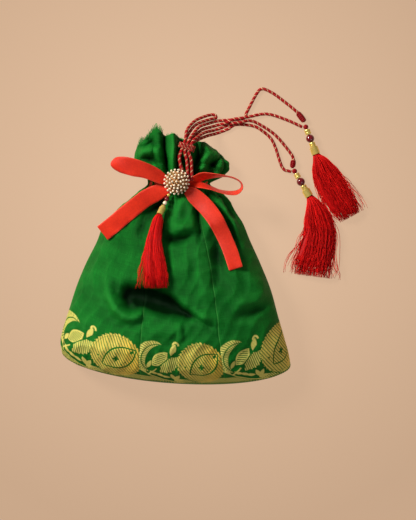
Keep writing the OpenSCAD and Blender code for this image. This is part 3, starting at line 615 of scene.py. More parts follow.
def silkFinish(name, border=True):
    f = Finish(name)
    x, y = place(f)
    coat = f.coat()
    # threads of the weave, uneven as in hand-woven silk
    stretchedU = f.node("CombineXYZ", {}, [x * 5.0, y * 0.22, 0.0])
    stretchedV = f.node("CombineXYZ", {}, [x * 0.2, y * 5.5, 3.0])
    warp = f.noise(stretchedU, 0.5, 3.0)
    weft = f.noise(stretchedV, 0.55, 3.0)
    cloud = f.noise(coat, 22.0)
    thread = (x * (math.pi * 2 / 0.42)).math("SINE") * (y * (math.pi * 2 / 0.42)).math("SINE")
    tone = (warp * 0.95 + weft * 0.75 + cloud * 0.7 - 0.72 + thread * 0.06).clamp()
    green = f.mix(tone, linear(*silkColour["deep"]), linear(*silkColour["bright"]))
    # painted highlight: a lighter line along the panel's left seam
    seam = inside(0.35 - abs(x - 0.35), 0.2)
    green = f.mix(seam * 0.6, green, linear(*silkColour["seam"]))
    # painted shade darkens the hollows of the folds and a painted highlight lightens their ridges
    fold = f.node("Attribute", {"attribute_name": "fold"}, None, 2)
    green = f.mix((fold * -1.25).clamp() * 0.97, green, linear(*silkColour["hollowShade"]))
    green = f.mix(fold.clamp() * 0.5, green, linear(*silkColour["ridgeHighlight"]))
    if not border:
        bump = f.bump(0.35, 0.0003, warp + weft + thread * 0.4)
        return f.finish(Base_Color=green, Roughness=0.5, Normal=bump, Sheen_Weight=0.03, Sheen_Roughness=0.35,
                        Sheen_Tint=(*linear(60, 200, 60), 1), Specular_IOR_Level=0.08)
    # the round flower, cut by the seam: toothed rim, steep stripes, and an eye-shaped leaf
    up = y - 3.4
    dx, dy = x - 54.0, up - 19.3
    far = (dx * dx + dy * dy).math("SQRT")
    turn = dy.math("ARCTAN2", dx)
    teeth = (turn * (34 / (2 * math.pi)) + far * 0.03).math("FRACT") * 1.5
    disc = 19.8 + teeth - far
    a, b = turned(x, up, 57.0, 19.2, 36)
    eye = leaf(a, b, 16.4, 9.0)
    eyeLine = inside(0.7 - abs(eye), 0.2)
    steep = turned(x, y, 0, 0, -62)[1]
    fill = stripes(f, steep, 2.3, 0.74)
    eyeFill = stripes(f, steep, 2.1, 0.66)
    inner = inside(eye)
    rimLine = inside(0.3 - abs(18.6 - far), 0.2)
    flowerR = ((x - 54.4) * (x - 54.4) + (up - 17.6) * (up - 17.6)).math("SQRT")
    petal = ((up - 17.6).math("ARCTAN2", x - 54.4) * 4).math("COSINE") * 0.7 + 2.1
    spots = inside(petal - flowerR).high(inside(0.9 - ((x - 40.4) ** 2 + (up - 17.5) ** 2).math("SQRT")))
    spots = spots.high(inside(0.7 - ((x - 59.0) ** 2 + (up - 13.2) ** 2).math("SQRT")))
    spots = spots.high(inside(0.6 - ((x - 61.6) ** 2 + (up - 15.6) ** 2).math("SQRT")))
    spots = spots.high(inside(leaf(*turned(x, up, 67.0, 26.8, 40), 2.4, 1.2)))
    discFill = fill + (eyeFill - fill) * inner
    discGold = inside(disc) * discFill * (1 - eyeLine) * (1 - spots) * (1 - rimLine * 0.4)
    # the ribbed leaf that curls along the seam
    rx, ry = x - 15.6, up - 23.0
    ringFar = (rx * rx + ry * ry).math("SQRT")
    ringTurn = ry.math("ARCTAN2", rx)
    ringTurn = ringTurn + (ringTurn.math("LESS_THAN", 0.0)) * (2 * math.pi)
    t = (ringTurn - 2.75) / 1.42
    across = ringFar - 14.6
    ribs = (ringTurn * 7.6 - across * 0.16).math("PINGPONG", 0.5)
    ringWide = (1 - t * t) * 4.6 + ribs * 1.1 * inside(across)
    ring = inside(ringWide - abs(across)) * inside(0.36 - ribs, 0.09)
    ring = ring * (1 - inside(0.4 - abs(across + 0.6), 0.2))
    ring = ring * inside(1.35 - abs(t), 0.1)
    # the sprig: a smooth lobe, a scalloped lobe, a hooked tip and its stem
    a, b = turned(x, up, 22.0, 21.5, 44)
    lobeA = leaf(a + 1.0, b - 4.5, 9.6, 5.4)
    scallop = abs((a * 0.9 + 0.6).math("SINE")) * 1.3
    lobeB = leaf(a - 1.0, b + 5.0, 10.4, 5.2) + scallop
    lobeAFill = inside(0.75 - abs(lobeA - 0.75), 0.2).high(stripes(f, a * 0.8 + b * 0.5, 1.7, 0.62))
    lobeBFill = stripes(f, b * 0.55 - a * 0.85, 1.8, 0.66)
    sprig = inside(lobeA) * lobeAFill * 0.95
    sprig = sprig.high(inside(lobeB) * lobeBFill)
    sprig = sprig.high(inside(leaf(*turned(x, up, 30.0, 33.0, 68), 5.6, 2.5)))
    hook = ((x - 32.4) ** 2 + (up - 37.4) ** 2).math("SQRT")
    sprig = sprig.high(inside(0.9 - abs(hook - 2.3)) * inside(up - 36.8))
    sprig = sprig * (1 - inside(0.5 - abs(b), 0.2) * inside(14.0 - abs(a)))
    stem = inside(0.55 - abs(b + 0.3)) * inside(5.6 - abs(a + 15.5))
    sprig = sprig.high(stem).high(inside(leaf(*turned(x, up, 8.6, 18.0, 62), 4.4, 1.7)))
    sprig = sprig.high(inside(leaf(*turned(x, y, 3.6, 14.4, 130), 3.6, 1.3)))
    # the vine over the ribbed strip of the hem, its small leaves and a leaf of three points
    vine = 16.2 - x * 0.86 + x * x * 0.0122
    low = y - vine
    vineGold = inside(0.55 - abs(low)) * inside(37.5 - x)
    for cx, cy, lean, half, wide in vineLeaves:
        vineGold = vineGold.high(inside(leaf(*turned(x, y, cx, cy, lean), half, wide)))
    ribbing = stripes(f, x * 0.85 + y * 0.5, 1.75, 0.68)
    under = inside((vine - 1.1).low(7.4) - y) * inside(y - 1.3)
    strip = inside(5.6 - y) * inside(y - 1.3) * inside(x - 30.0)
    strip = under.high(strip * (1 - inside(disc + 1.2))) * ribbing
    dots = inside(0.5 - (x.math("PINGPONG", 1.2) ** 2 + (y - 0.2) ** 2).math("SQRT"), 0.2)
    vineGold = vineGold * (1 - inside(disc + 0.8))
    gold = discGold.high(ring).high(sprig).high(vineGold).high(strip).high(dots)
    flat = f.node("CombineXYZ", {}, [x, y, 0.0])
    ragged = f.noise(flat, 1.6)
    gold = (gold * (0.86 + ragged * 0.28)).clamp()
    # gold thread: painted glints lighten it in random streaks from its shaded colour to its lit one, and it
    # is warm towards the seam
    paintedGlint = f.noise(stretchedU, 2.2, 1.0)
    warm = (inside(x - 60.0, 6.0) * 0.6 + 0.4) * inside(disc)
    metal = f.mix((paintedGlint * 1.5 - 0.3).clamp(), linear(*goldColour["shade"]), linear(*goldColour["light"]))
    metal = f.mix(warm * 0.6, metal, linear(*goldColour["warm"]))
    colour = f.mix(gold, green, metal)
    bump = f.bump(0.5, 0.0004, warp + weft + thread * 0.4 + gold * 1.4)
    return f.finish(Base_Color=colour, Roughness=0.5 - gold * 0.12, Metallic=gold * 0.22, Normal=bump,
                    Sheen_Weight=0.03, Sheen_Roughness=0.35, Sheen_Tint=(*linear(60, 200, 60), 1),
                    Specular_IOR_Level=0.08)


# the hollow colour is painted shade, and the ridge and seam colours are painted highlights
silkColour = {"deep": (0, 70, 14), "bright": (28, 138, 44), "seam": (70, 150, 66), "hollowShade": (0, 20, 3),
              "ridgeHighlight": (40, 158, 54)}
goldColour = {"shade": (196, 176, 50), "light": (255, 252, 150), "warm": (255, 196, 56)}
# centre, lean, half length and half width of each small leaf on the vine
vineLeaves = ((12.5, 12.6, -28, 4.0, 1.5), (17.5, 10.4, -24, 4.2, 1.6), (22.5, 8.6, -14, 4.0, 1.5),
              (28.6, 8.8, 108, 4.6, 1.9), (31.8, 7.4, 62, 5.2, 2.0), (33.6, 4.2, 14, 4.4, 1.8))
silkBorder = silkFinish("silkWithGoldBorder")
silkPlain = silkFinish("silkPlain", border=False)

panelNames = ["frontRight", "frontCenter", "frontLeft", "backLeft", "backCenter", "backRight"]
panelNodes = ["front_right_panel", "front_center_panel", "front_left_panel", "back_left_panel",
              "back_center_panel", "back_right_panel"]


seamSet = {"dip": 0.4, "wide": 0.9}


def makePanel(k):
    front = k < 3
    cols = sackSet["columnsFront"] if front else sackSet["columnsBack"]
    rows = sackSet["rows"] if front else sackSet["rowsBack"]
    a, b = math.radians(sackSet["seams"][k]), math.radians(sackSet["seams"][k + 1])
    turn = np.linspace(b, a, cols)  # from the left seam to the right one, as seen from outside
    grid, shade = sackGrid(rows, turn)
    plain, _ = sackGrid(rows, turn, folds=False)
    across = np.linalg.norm(np.diff(plain[:rows // 8], axis=1), axis=2).mean(0)
    u = np.concatenate([[0], np.cumsum(across)])
    cut = (u[-1] * mm, float(np.linalg.norm(np.diff(plain[:, cols // 2], axis=0), axis=1).sum()) * mm)
    u *= sackSet["panelWidth"] / u[-1]
    # a seam draws the cloth in a little
    grid[..., 2] -= seamSet["dip"] * np.exp(-((u / seamSet["wide"]) ** 2))[None, :]
    grid[..., 2] -= seamSet["dip"] * np.exp(-(((u[-1] - u) / seamSet["wide"]) ** 2))[None, :]
    grid[..., 2] = np.maximum(grid[..., 2], 0.2)
    step = np.linalg.norm(np.diff(plain, axis=0), axis=2)
    v = np.concatenate([np.zeros((1, cols)), np.cumsum(step, 0)])
    uv = np.stack([np.broadcast_to(u, v.shape), v], -1) / 100
    piece = makeMesh(panelNames[k] + "Silk", grid.reshape(-1, 3), gridFaces(rows, cols)[:, ::-1],
                     uv.reshape(-1, 2), materials=[silkBorder])
    # the fold attribute carries the painted shade and highlight into the silk's colour
    fold = piece.data.attributes.new("fold", "FLOAT", "POINT")
    fold.data.foreach_set("value", shade.ravel().astype(np.float32))
    thicken(piece, sackSet["fabric"])
    area = float((np.linalg.norm(np.diff(plain, axis=1), axis=2)[:-1] * step[:, :-1]).sum()) * mm * mm
    belong(piece, "sack", panelNodes[k])
    return piece, area, cut


def clearSelection():
    bpy.ops.object.select_all(action="DESELECT")


def thicken(piece, thickness, offset=-1.0):
    modifier = piece.modifiers.new("thickness", "SOLIDIFY")
    modifier.thickness = thickness * mm
    modifier.offset = offset
    clearSelection()
    piece.select_set(True)
    bpy.context.view_layer.objects.active = piece
    bpy.ops.object.modifier_apply(modifier=modifier.name)


panels = [makePanel(k) for k in range(6)]
print("stage: six panels,", [round(panel[1] * 1e4) for panel in panels], "square centimetres")


# Lining and the strip that closes the end between the hems
def closedSheet(name, inset, thickness, rows, cols, finish):
    turn = np.linspace(2 * math.pi, 0, cols, endpoint=False)
    table = stationCurve(rows)
    casing = smoothStep(61.5, 63.5, table[:, 0]) * (1 - smoothStep(73, 76, table[:, 0]))
    grid, _ = sackGrid(rows, turn, inset=(inset + 3.7 * casing)[:, None])
    v = np.concatenate([np.zeros((1, cols)), np.cumsum(np.linalg.norm(np.diff(grid, axis=0), axis=2), 0)])
    uv = np.stack([np.broadcast_to(np.arange(cols) * 440 / cols, v.shape), v], -1) / 100
    piece = makeMesh(name, grid.reshape(-1, 3), gridFaces(rows, cols, True)[:, ::-1], uv.reshape(-1, 2),
                     materials=[finish])
    thicken(piece, thickness)
    return piece


lining = closedSheet("lining", 2.0, 0.4, 150, 150, silkPlain)
belong(lining, "sack", "lining_sleeve")


def endStrip(name, node, inset, back, bulge, thickness, finish):
    turn = np.radians(np.linspace(168, 12, 90))
    high = np.linspace(0, 1, 14)[:, None]
    hem = np.array(sackStations[0], float)
    x = hem[5] + (hem[1] - inset) * np.cos(turn)
    y = hem[0] + hem[4] * np.cos(turn) - hem[3] * np.sin(turn) + back
    top = hem[2] * heightAt(turn) - inset
    low = np.maximum(hem[2] * heightAt(-turn), 0.3) + inset * 0.4
    z = low + (top - low) * high
    out = bulge * np.sin(high * math.pi) * np.sin(turn) ** 0.5
    points = np.stack([np.broadcast_to(x, z.shape), y - out, z], -1)
    uv = np.stack([np.broadcast_to(np.linspace(0, 2.2, len(turn)), z.shape), z * 0 + high * 0.3], -1)
    piece = makeMesh(name, points.reshape(-1, 3), gridFaces(len(high), len(turn))[:, ::-1], uv.reshape(-1, 2),
                     materials=[finish])
    thicken(piece, thickness)
    belong(piece, "sack", node)
    return piece


basePanel = endStrip("basePanelSilk", "base_panel", 1.0, 0.9, 2.2, 0.8, silkPlain)
liningBase = endStrip("liningBase", "lining_base", 2.4, 2.2, 1.8, 0.4, silkPlain)


# What the sack's front reaches at each place, for what lies on it
fronts = []
for piece, _, _ in panels[:3]:
    piece.data.calc_loop_triangles()
    fronts.append(BVHTree.FromPolygons([v.co for v in piece.data.vertices],
                                       [tuple(t.vertices) for t in piece.data.loop_triangles]))


def topOf(x, y):
    best = 0.0
    for tree in fronts:
        hit = tree.ray_cast(Vector((x * mm, y * mm, 0.2)), Vector((0, 0, -1)))[0]
        if hit is not None:
            best = max(best, hit.z / mm)
    return best


# Ribbon bow
ribbonSet = {"width": 15, "thickness": 0.45, "across": 11, "step": 1.1, "above": 0.75}
# the edge colour is a painted highlight
ribbonColour = {"face": (255, 62, 30), "deep": (190, 28, 16), "edge": (255, 96, 70)}


def ribbonFinish():
    f = Finish("satinRibbon")
    x, y = place(f)
    coat = f.coat()
    rib = (y * (2 * math.pi / 0.62)).math("SINE")
    cloud = f.noise(coat, 60.0, 4.0)
    fine = f.noise(coat, 700.0)
    # painted highlight: both edges of the ribbon are painted lighter and pinker; the bump also raises them
    edge = inside(abs(x - 7.5) - 7.0, 0.2)
    tone = (cloud * 0.9 + fine * 0.5 - 0.2 + rib * 0.06).clamp()
    colour = f.mix(tone, linear(*ribbonColour["deep"]), linear(*ribbonColour["face"]))
    colour = f.mix(edge * 0.45, colour, linear(*ribbonColour["edge"]))
    bump = f.bump(0.4, 0.0002, rib * 0.6 + fine + edge * 2)
    return f.finish(Base_Color=colour, Roughness=0.46, Normal=bump, Sheen_Weight=0.06, Sheen_Roughness=0.3,
                    Specular_IOR_Level=0.2)


satin = ribbonFinish()


def ribbonPiece(name, edges, node, thickness=None):
    # edges is an array of rows, each with points across the ribbon
    rows, cols = edges.shape[:2]
    along = distances(edges[:, cols // 2])
    width = np.linspace(0, ribbonSet["width"], cols)
    uv = np.stack(np.broadcast_arrays(width[None, :], along[:, None]), -1) / 100
    piece = makeMesh(name, edges.reshape(-1, 3), gridFaces(rows, cols), uv.reshape(-1, 2), materials=[satin])
    thicken(piece, thickness or ribbonSet["thickness"], 0.0)
    belong(piece, "sack", node)
    print("ribbon", name, round(along[-1], 1), "mm")
    return piece


acrossRibbon = np.linspace(-1, 1, ribbonSet["across"])


def flatLoop(rows):
    line = smoothLine(rows, ribbonSet["step"])
    path, half, turn, nose = line[:, :3], line[:, 3:4], np.radians(line[:, 4:5]), line[:, 5:6]
    wide = np.concatenate([np.cos(turn), np.sin(turn), turn * 0], 1)
    edges = path[:, None] + wide[:, None] * (half * acrossRibbon[None, :])[..., None]
    edges[..., 0] -= nose * (1 - acrossRibbon[None, :] ** 2)
    # the cloth is pinched towards the knot, where it is pleated
    pinch = 1 - np.clip(half / 7.5, 0, 1)
    edges[..., 2] += pinch * 1.3 * np.cos(acrossRibbon[None, :] * 8)
    edges[..., 2] += 0.35 * np.sin(path[:, :1] * 0.21 + acrossRibbon[None, :] * 1.4)
    return edges


leftLoop = flatLoop([
    (-6.3, 65.0, 24.7, 3.4, 92, 0), (-15, 69.8, 27.5, 6.8, 96, 0), (-29, 75.4, 31.5, 7.8, 100, 0),
    (-40, 77.8, 33.5, 8.6, 104, 0.6), (-47.5, 79.0, 32.6, 7.8, 108, 3.4), (-51.5, 79.2, 29.6, 6.2, 108, 5.2),
    (-48, 78.4, 26.8, 6.6, 106, 4), (-40, 77.2, 25.4, 7, 103, 1), (-29, 75.2, 24.8, 6.8, 100, 0),
    (-15, 69.2, 24.3, 5.6, 96, 0), (-6.3, 64.6, 22.5, 3, 92, 0)])
ribbonPiece("bowLeftLoop", leftLoop, "bow_left_loop")


def leaningLoop(rows):
    # a loop on its edge; each row leans by the width that shows from above
    line = smoothLine(rows, ribbonSet["step"])
    path, half, shown = line[:, :3], line[:, 3:4], line[:, 4:5]
    along = unit(np.gradient(path * (1, 1, 0), axis=0))
    out = levelSide(along)
    lean = np.clip(shown / 2 / half, -0.98, 0.98)
    wide = out * lean + np.array((0, 0, 1.0)) * np.sqrt(1 - lean**2)
    return path[:, None] + wide[:, None] * (half * acrossRibbon[None, :])[..., None]


rightLoop = leaningLoop([
    (10.2, 61.9, 24.4, 2.6, 4.2), (17, 62.6, 26, 4.2, 5.5), (24, 61.4, 28.4, 6, 5),
    (31, 59.2, 30.4, 7.4, 3.4),
    (38, 56.6, 30.8, 7.5, 3), (46, 55, 30.8, 7.5, 3.8), (53, 55.4, 30.8, 7.5, 4), (57.3, 59, 30.8, 7.5, 2),
    (56.6, 64, 30.8, 7.5, 0.6), (51, 67.7, 30.8, 7.5, 0.5), (43, 69.6, 30.8, 7.5, 0.8),
    (33, 69.9, 30.8, 7.5, 3.4), (23.4, 69.4, 29, 6.6, 6.4), (17, 67, 26.4, 4.4, 6.4),
    (10.2, 64.6, 24.6, 2.6, 4.4)])
ribbonPiece("bowRightLoop", rightLoop, "bow_right_loop")


def tail(rows, curl):
    line = smoothLine(rows, ribbonSet["step"])
    path = line[:, :3] * (1, 1, 0)
    along = unit(np.gradient(path, axis=0))
    side = levelSide(along)
    half = line[:, 3:4]
    edges = path[:, None] + side[:, None] * (half * acrossRibbon[None, :])[..., None]
    for i, row in enumerate(edges):
        for point in row:
            point[2] = topOf(point[0], point[1])
    low = edges[..., 2].copy()
    rest = np.maximum(low.max(1), line[:, 2])
    for _ in range(14):
        spread = np.pad(rest, 3, mode="edge")
        rest = np.maximum(rest, np.convolve(spread, np.ones(7) / 7, "valid"))
    level = rest[:, None] - (half * acrossRibbon[None, :]) ** 2 * 0.012
    edges[..., 2] = np.maximum(level, low) + ribbonSet["above"]
    for _ in range(3):
        z = np.pad(edges[..., 2], ((2, 2), (1, 1)), mode="edge")
        soft = sum(z[a:a + len(edges), b:b + len(acrossRibbon)] for a in range(5) for b in range(3)) / 15
        edges[..., 2] = np.maximum(soft, low + ribbonSet["above"])
    edges[..., 2] += curl * np.linspace(0, 1, len(edges))[:, None] ** 6 * np.abs(acrossRibbon[None, :])
    return edges


leftTail = tail([
    (-7, 58, 23.6, 3.4), (-16, 55.4, 24, 7), (-25.5, 50.8, 23.8, 7.5), (-33, 45.2, 24, 7.5),
    (-40, 39.5, 24, 7.5),
    (-46.4, 34.3, 23.6, 7.5), (-52.5, 29, 22.4, 7.5), (-64.1, 19.8, 19, 7.5)], 0.8)
ribbonPiece("bowLeftTail", leftTail, "bow_left_tail")
rightTail = tail([
    (9, 57.2, 23.6, 3.4), (14.5, 53.6, 24, 6.4), (21.5, 47.4, 24, 7.2), (28, 40.6, 24, 7.2),
    (34.2, 32, 24, 7),
    (39.4, 22.4, 24, 6.6), (44, 12.6, 24, 6.4), (48.2, 2, 24, 6.4), (52.2, -11, 24, 6.2)], 0.6)
ribbonPiece("bowRightTail", rightTail, "bow_right_tail")

neckSet = {"rows": (59.6, 61, 62.6, 64.2, 65.4), "columns": 120, "length": 130, "out": 1.7, "wave": 0.25,
           "waves": 9}
neckCurve = stationCurve(400)
neckRows = []
for y in neckSet["rows"]:
    i = int(np.abs(neckCurve[:, 0] - y).argmin())
    row = neckCurve[i:i + 1]
    t = np.linspace(0, 2 * math.pi, neckSet["columns"], endpoint=False)
    x, yy, z = bodySection(row, t)
    out = neckSet["out"] + neckSet["wave"] * np.cos(t * neckSet["waves"] + y)
    neckRows.append(np.stack([x[0] + out * np.cos(t), yy[0], z[0] + out * np.sin(t) + 0.2], 1))
neckGrid = np.array(neckRows)
neckGrid[..., 2] = np.maximum(neckGrid[..., 2], 0.3)
neckAcross = np.linspace(0, ribbonSet["width"], len(neckSet["rows"]))[:, None]
neckAlong = np.linspace(0, neckSet["length"], neckSet["columns"])[None, :]
uv = np.stack(np.broadcast_arrays(neckAcross, neckAlong), -1) / 100
neck = makeMesh("neckRibbon", neckGrid.reshape(-1, 3),
                gridFaces(len(neckSet["rows"]), neckSet["columns"], True), uv.reshape(-1, 2),
                materials=[satin])
thicken(neck, ribbonSet["thickness"], 0.0)
belong(neck, "sack", "neck_ribbon")
nodes["bow_knot"].data.materials.clear()
nodes["bow_knot"].data.materials.append(satin)
print("stage: bow")


# Tassels
tasselSet = {
    "upper": {"at": (114.4, 114, 4), "turn": -69.3, "pitch": 0, "rows": [
        (122.7, 92, 4, 2.7, 2.7), (123.7, 89.4, 4, 3, 3), (124.8, 87, 4.4, 4.4, 3.6),
        (127.3, 82.5, 4.8, 7.6, 4.2),
        (131, 74, 5, 11.2, 4.5), (136.6, 63, 5, 13, 4.5), (143.4, 51, 5, 13, 4.4), (149.6, 41, 4.6, 12, 4),
        (153.4, 34, 4, 10, 3.2)]},
    "lower": {"at": (104.5, 75, 4), "turn": -59.6, "pitch": 0, "rows": [
        (116.5, 54.6, 4, 2.7, 2.7), (117.9, 52.2, 4, 3, 3), (119.2, 50, 4.4, 4.2, 3.6),
        (121.6, 44.5, 4.8, 7.4, 4.2),
        (124.8, 34, 5, 12.2, 4.5), (126.6, 20, 5, 14.6, 4.5), (123.6, 4, 5, 15.6, 4.4),
        (120.4, -9, 4.6, 17, 4),
        (119.2, -18, 4, 18, 3.2)]},
    "front": {"at": (-5, 56, 26), "turn": -114.3, "pitch": 29, "rows": [
        (-14.1, 35.9, 39.1, 2, 2), (-14.5, 34.2, 39.9, 3.4, 2.3), (-15.2, 31, 41.2, 4.6, 2.5),
        (-17.2, 22, 44.4, 5.6, 2.6), (-18.6, 9, 48.4, 7.4, 2.8), (-17.8, -6, 51.6, 9.4, 2.8),
        (-16.6, -18, 53.2, 10.4, 2.6), (-16.3, -28, 54, 10.2, 2.4)]},
}
threadSet = {"count": {"upper": 520, "lower": 620, "front": 420}, "radius": 0.27, "points": 26,
             "strays": {"upper": 30, "lower": 34, "front": 16}}


def threadFinish():
    f = Finish("tasselThread")
    u, v = place(f)
    coat = f.coat()
    fleck = f.noise(coat, 260.0)
    tone = (u + fleck * 0.5 - 0.25).clamp()
    colour = f.mix(tone, linear(176, 4, 4), linear(255, 30, 26))
    return f.finish(Base_Color=colour, Roughness=0.5, Specular_IOR_Level=0.12)


threadRed = threadFinish()


def manyThreads(name, paths, radius, tones, shadedCore=None):
    # thin three-sided tubes along many paths at once
    n, m = paths.shape[:2]
    along = unit(np.gradient(paths, axis=1))
    side = unit(np.cross(along, np.array((0.13, 0.21, 1.0))))
    top = np.cross(along, side)
    turn = np.linspace(0, 2 * math.pi, 3, endpoint=False) + 0.5
    thin = radius * (1 - 0.45 * np.linspace(0, 1, m) ** 3)
    ring = side[:, :, None] * np.cos(turn)[:, None] + top[:, :, None] * np.sin(turn)[:, None]
    points = (paths[:, :, None] + ring * thin[None, :, None, None]).reshape(-1, 3)
    one = gridFaces(m, 3, True)
    faces = (one[None] + (np.arange(n) * m * 3)[:, None, None]).reshape(-1, 4)
    ends = np.arange(n)[:, None] * m * 3
    caps = np.vstack([ends + np.array([2, 1, 0]), ends + (m - 1) * 3 + np.array([0, 1, 2])])
    uv = np.stack(np.broadcast_arrays(tones[:, None, None] / 100, np.linspace(0, 1, m)[None, :, None],
                                      np.zeros((1, 1, 3))), -1)[..., :2].reshape(-1, 2)
    faceList, pointList, uvList = faces.tolist() + caps.tolist(), [points], [uv]
    if shadedCore is not None:
        faceList += (gridFaces(*shadedCore.shape[:2], True) + len(points)).tolist()
        pointList.append(shadedCore.reshape(-1, 3))
        # the core stands for the inner threads; it takes the darkest red as painted shade inside the tassel
        uvList.append(np.full((shadedCore.shape[0] * shadedCore.shape[1], 2), 0.0008))
    return makeMesh(name, np.vstack(pointList), faceList, np.vstack(uvList), materials=[threadRed])


def skirt(kind):
    rows = tasselSet[kind]["rows"]
    line = smoothLine(rows, 1.0)
    count, m = threadSet["count"][kind], threadSet["points"]
    path, wide, thick = line[:, :3], line[:, 3], line[:, 4]
    along = unit(np.gradient(path, axis=0))
    side = unit(np.cross((0, 0, 1.0), along))
    top = np.cross(along, side)
    total = len(line) - 1
    reach = 1 - draw.uniform(0, 1, count) ** 2 * 0.16
    angle, far = draw.uniform(0, 2 * math.pi, count), np.sqrt(draw.uniform(0.02, 1, count))
    a, b = far * np.cos(angle), far * np.sin(angle)
    lock = np.round(a * 5.5 + b * 1.5) / 5.5
    s = np.linspace(0, 1, m)[None, :] * reach[:, None]
    at = s * total
    places = np.arange(total + 1)

    def pick(values):
        return np.stack([np.interp(at, places, values[:, k]) for k in range(3)], -1)

    centre, across, up = pick(path), pick(side), pick(top)
    w, h = np.interp(at, places, wide), np.interp(at, places, thick)
    # threads gather in locks, and sway a little down their length
    mix = 0.55 * smoothStep(0.15, 0.8, s)
    lateral = a[:, None] * (1 - mix) + lock[:, None] * mix
    sway = draw.normal(0, 1, (count, 4))
    crimp = draw.uniform(16, 34, (count, 1))
    lateral = lateral + s * (0.07 * sway[:, :1] * np.sin(s * 7 + sway[:, 1:2] * 3)
                             + 0.05 * sway[:, 2:3] * np.sin(s * 17 + sway[:, 3:4]))
    lateral = lateral + 0.035 * smoothStep(0.1, 0.5, s) * np.sin(s * crimp + sway[:, 3:4] * 5)
    lateral = np.clip(lateral, -1.06, 1.06)
    vertical = b[:, None] * np.sqrt(np.clip(1 - (lateral * 0.93) ** 2, 0.05, 1))
    paths = centre + across * (lateral * w)[..., None] + up * (vertical * h)[..., None]
    strays = threadSet["strays"][kind]
    outer = np.argsort(a if kind == "front" else -np.abs(a))[:strays * 3:3]
    pull = draw.uniform(1, 9, len(outer)) * np.sign(a[outer])
    late = smoothStep(0.3, 1.0, s[outer])
    curl = np.sin(s[outer] * draw.uniform(8, 16, (len(outer), 1)) + draw.uniform(0, 6, (len(outer), 1)))
    paths[outer] += across[outer] * (late * pull[:, None] + late * curl * 1.4)[..., None]
    paths[..., 2] = np.maximum(paths[..., 2], 0.35)
    if kind == "front":
        for j in outer:
            for point in paths[j]:
                point[2] = max(point[2] - 2.0, topOf(point[0], point[1]) + 0.4)
    ring = np.linspace(0, 2 * math.pi, 20, endpoint=False)
    inner = smoothLine(rows, 4.0)[1:-2]
    ia = unit(np.gradient(inner[:, :3], axis=0))
    iside = unit(np.cross((0, 0, 1.0), ia))
    itop = np.cross(ia, iside)
    core = inner[:, None, :3] + iside[:, None] * (inner[:, 3:4] * 0.9 * np.cos(ring)[None, :])[..., None] \
        + itop[:, None] * (inner[:, 4:5] * 0.62 * np.sin(ring)[None, :])[..., None]
    core[-1] = core[-1].mean(0)
    core[0] = core[0].mean(0)
    tones = np.clip(0.5 + 0.28 * draw.normal(0, 1, count) + 0.18 * np.sin(lock * 40), 0.02, 1)
    piece = manyThreads(kind + "Skirt", paths, threadSet["radius"], tones, core)
    belong(piece, kind + "_tassel", kind + "_skirt")
    return piece


for kind in tasselSet:
    skirt(kind)
print("stage: tassel skirts")


# Metal, glass and pearl
def metalFinish(name, dark, bright, rough=0.2, grain=420.0):
    f = Finish(name)
    coat = f.coat()
    noise = f.noise(coat, grain, 3.0)
    colour = f.mix(noise, dark, bright)
    bump = f.bump(0.12, 0.0002, noise)
    return f.finish(Base_Color=colour, Metallic=0.55, Roughness=noise * 0.12 + rough, Normal=bump)


def glossFinish(name, dark, bright, rough=0.16, coatWeight=0.7, scale=300.0, sheen=0.0):
    f = Finish(name)
    coat = f.coat()
    noise = f.noise(coat, scale)
    return f.finish(Base_Color=f.mix(noise, dark, bright), Roughness=rough, Coat_Weight=coatWeight,
                    Coat_Roughness=0.06, Sheen_Weight=sheen)


gold = metalFinish("polishedGold", linear(226, 180, 64), linear(255, 234, 140), 0.2)
oldGold = metalFinish("broochGold", linear(172, 122, 70), linear(236, 184, 120), 0.5)
maroonGlass = glossFinish("maroonGlass", linear(70, 0, 8), linear(140, 12, 26))
pearl = glossFinish("pearl", linear(250, 214, 168), linear(255, 248, 222), 0.22, 0.8, 900.0)


def finishNode(name, material):
    mesh = nodes[name].data
    mesh.materials.clear()
    mesh.materials.append(material)


for kind in tasselSet:
    finishNode(kind + "_stem", darkYarn)
    finishNode(kind + "_crown_beads", gold)
    finishNode(kind + "_maroon_bead", maroonGlass)
    finishNode(kind + "_ring_bead", gold)
    finishNode(kind + "_cap", gold)
finishNode("front_ring_bead", pearl)
finishNode("brooch_back_plate", oldGold)
finishNode("brooch_pins", oldGold)
finishNode("brooch_pearls", pearl)


# Binding round the six strands, whippings, and the cord inside the casing
def windThread(name, line, body, node, radius=0.5):
    bundle = Bundle()
    bundle.tube(line, radius, 7, 0)
    piece = bundle.piece(name, [darkYarn])
    belong(piece, body, node)
    return piece


def ovalTurns(count, length, straight, radius):
    # a thread wound round a rounded box of two circles, in the frame of the binding
    t = np.linspace(0, 1, int(count * 56))
    turn = 2 * math.pi * count * t
    x = np.sign(np.cos(turn)) * straight * np.minimum(1, 2.2 * np.abs(np.cos(turn))) + radius * np.cos(turn)
    z = radius * np.sin(turn)
    wave = 0.14 * np.sin(turn * 0.37) + 0.1 * np.sin(turn * 1.7)
    return np.stack([x * (1 + 0.02 * wave), (t - 0.5) * length + wave, z * (1 + 0.03 * wave)], 1)


def placed(points, at, turn):
    c, s = math.cos(math.radians(turn)), math.sin(math.radians(turn))
    x, y, z = points.T
    return np.stack([at[0] + x * c - y * s, at[1] + x * s + y * c, at[2] + z], 1)


bindingSet = {"at": (9.5, 95.5, 26.1), "turn": -20.5, "turns": 5.2, "length": 4.8, "straight": 3.2,
              "radius": 3.75, "diameter": 1.25, "pitch": 3.4, "sides": 5}
boundTurns = Bundle()
boundLine = ovalTurns(bindingSet["turns"], bindingSet["length"], bindingSet["straight"], bindingSet["radius"])
boundLine = placed(boundLine, bindingSet["at"], bindingSet["turn"])
twistedTubes(boundTurns, boundLine, bindingSet["diameter"], bindingSet["pitch"], plyKinds,
             bindingSet["sides"])
binding = boundTurns.piece("cordBinding", [redYarn, goldYarn])
belong(binding, "drawstring", "cord_binding")


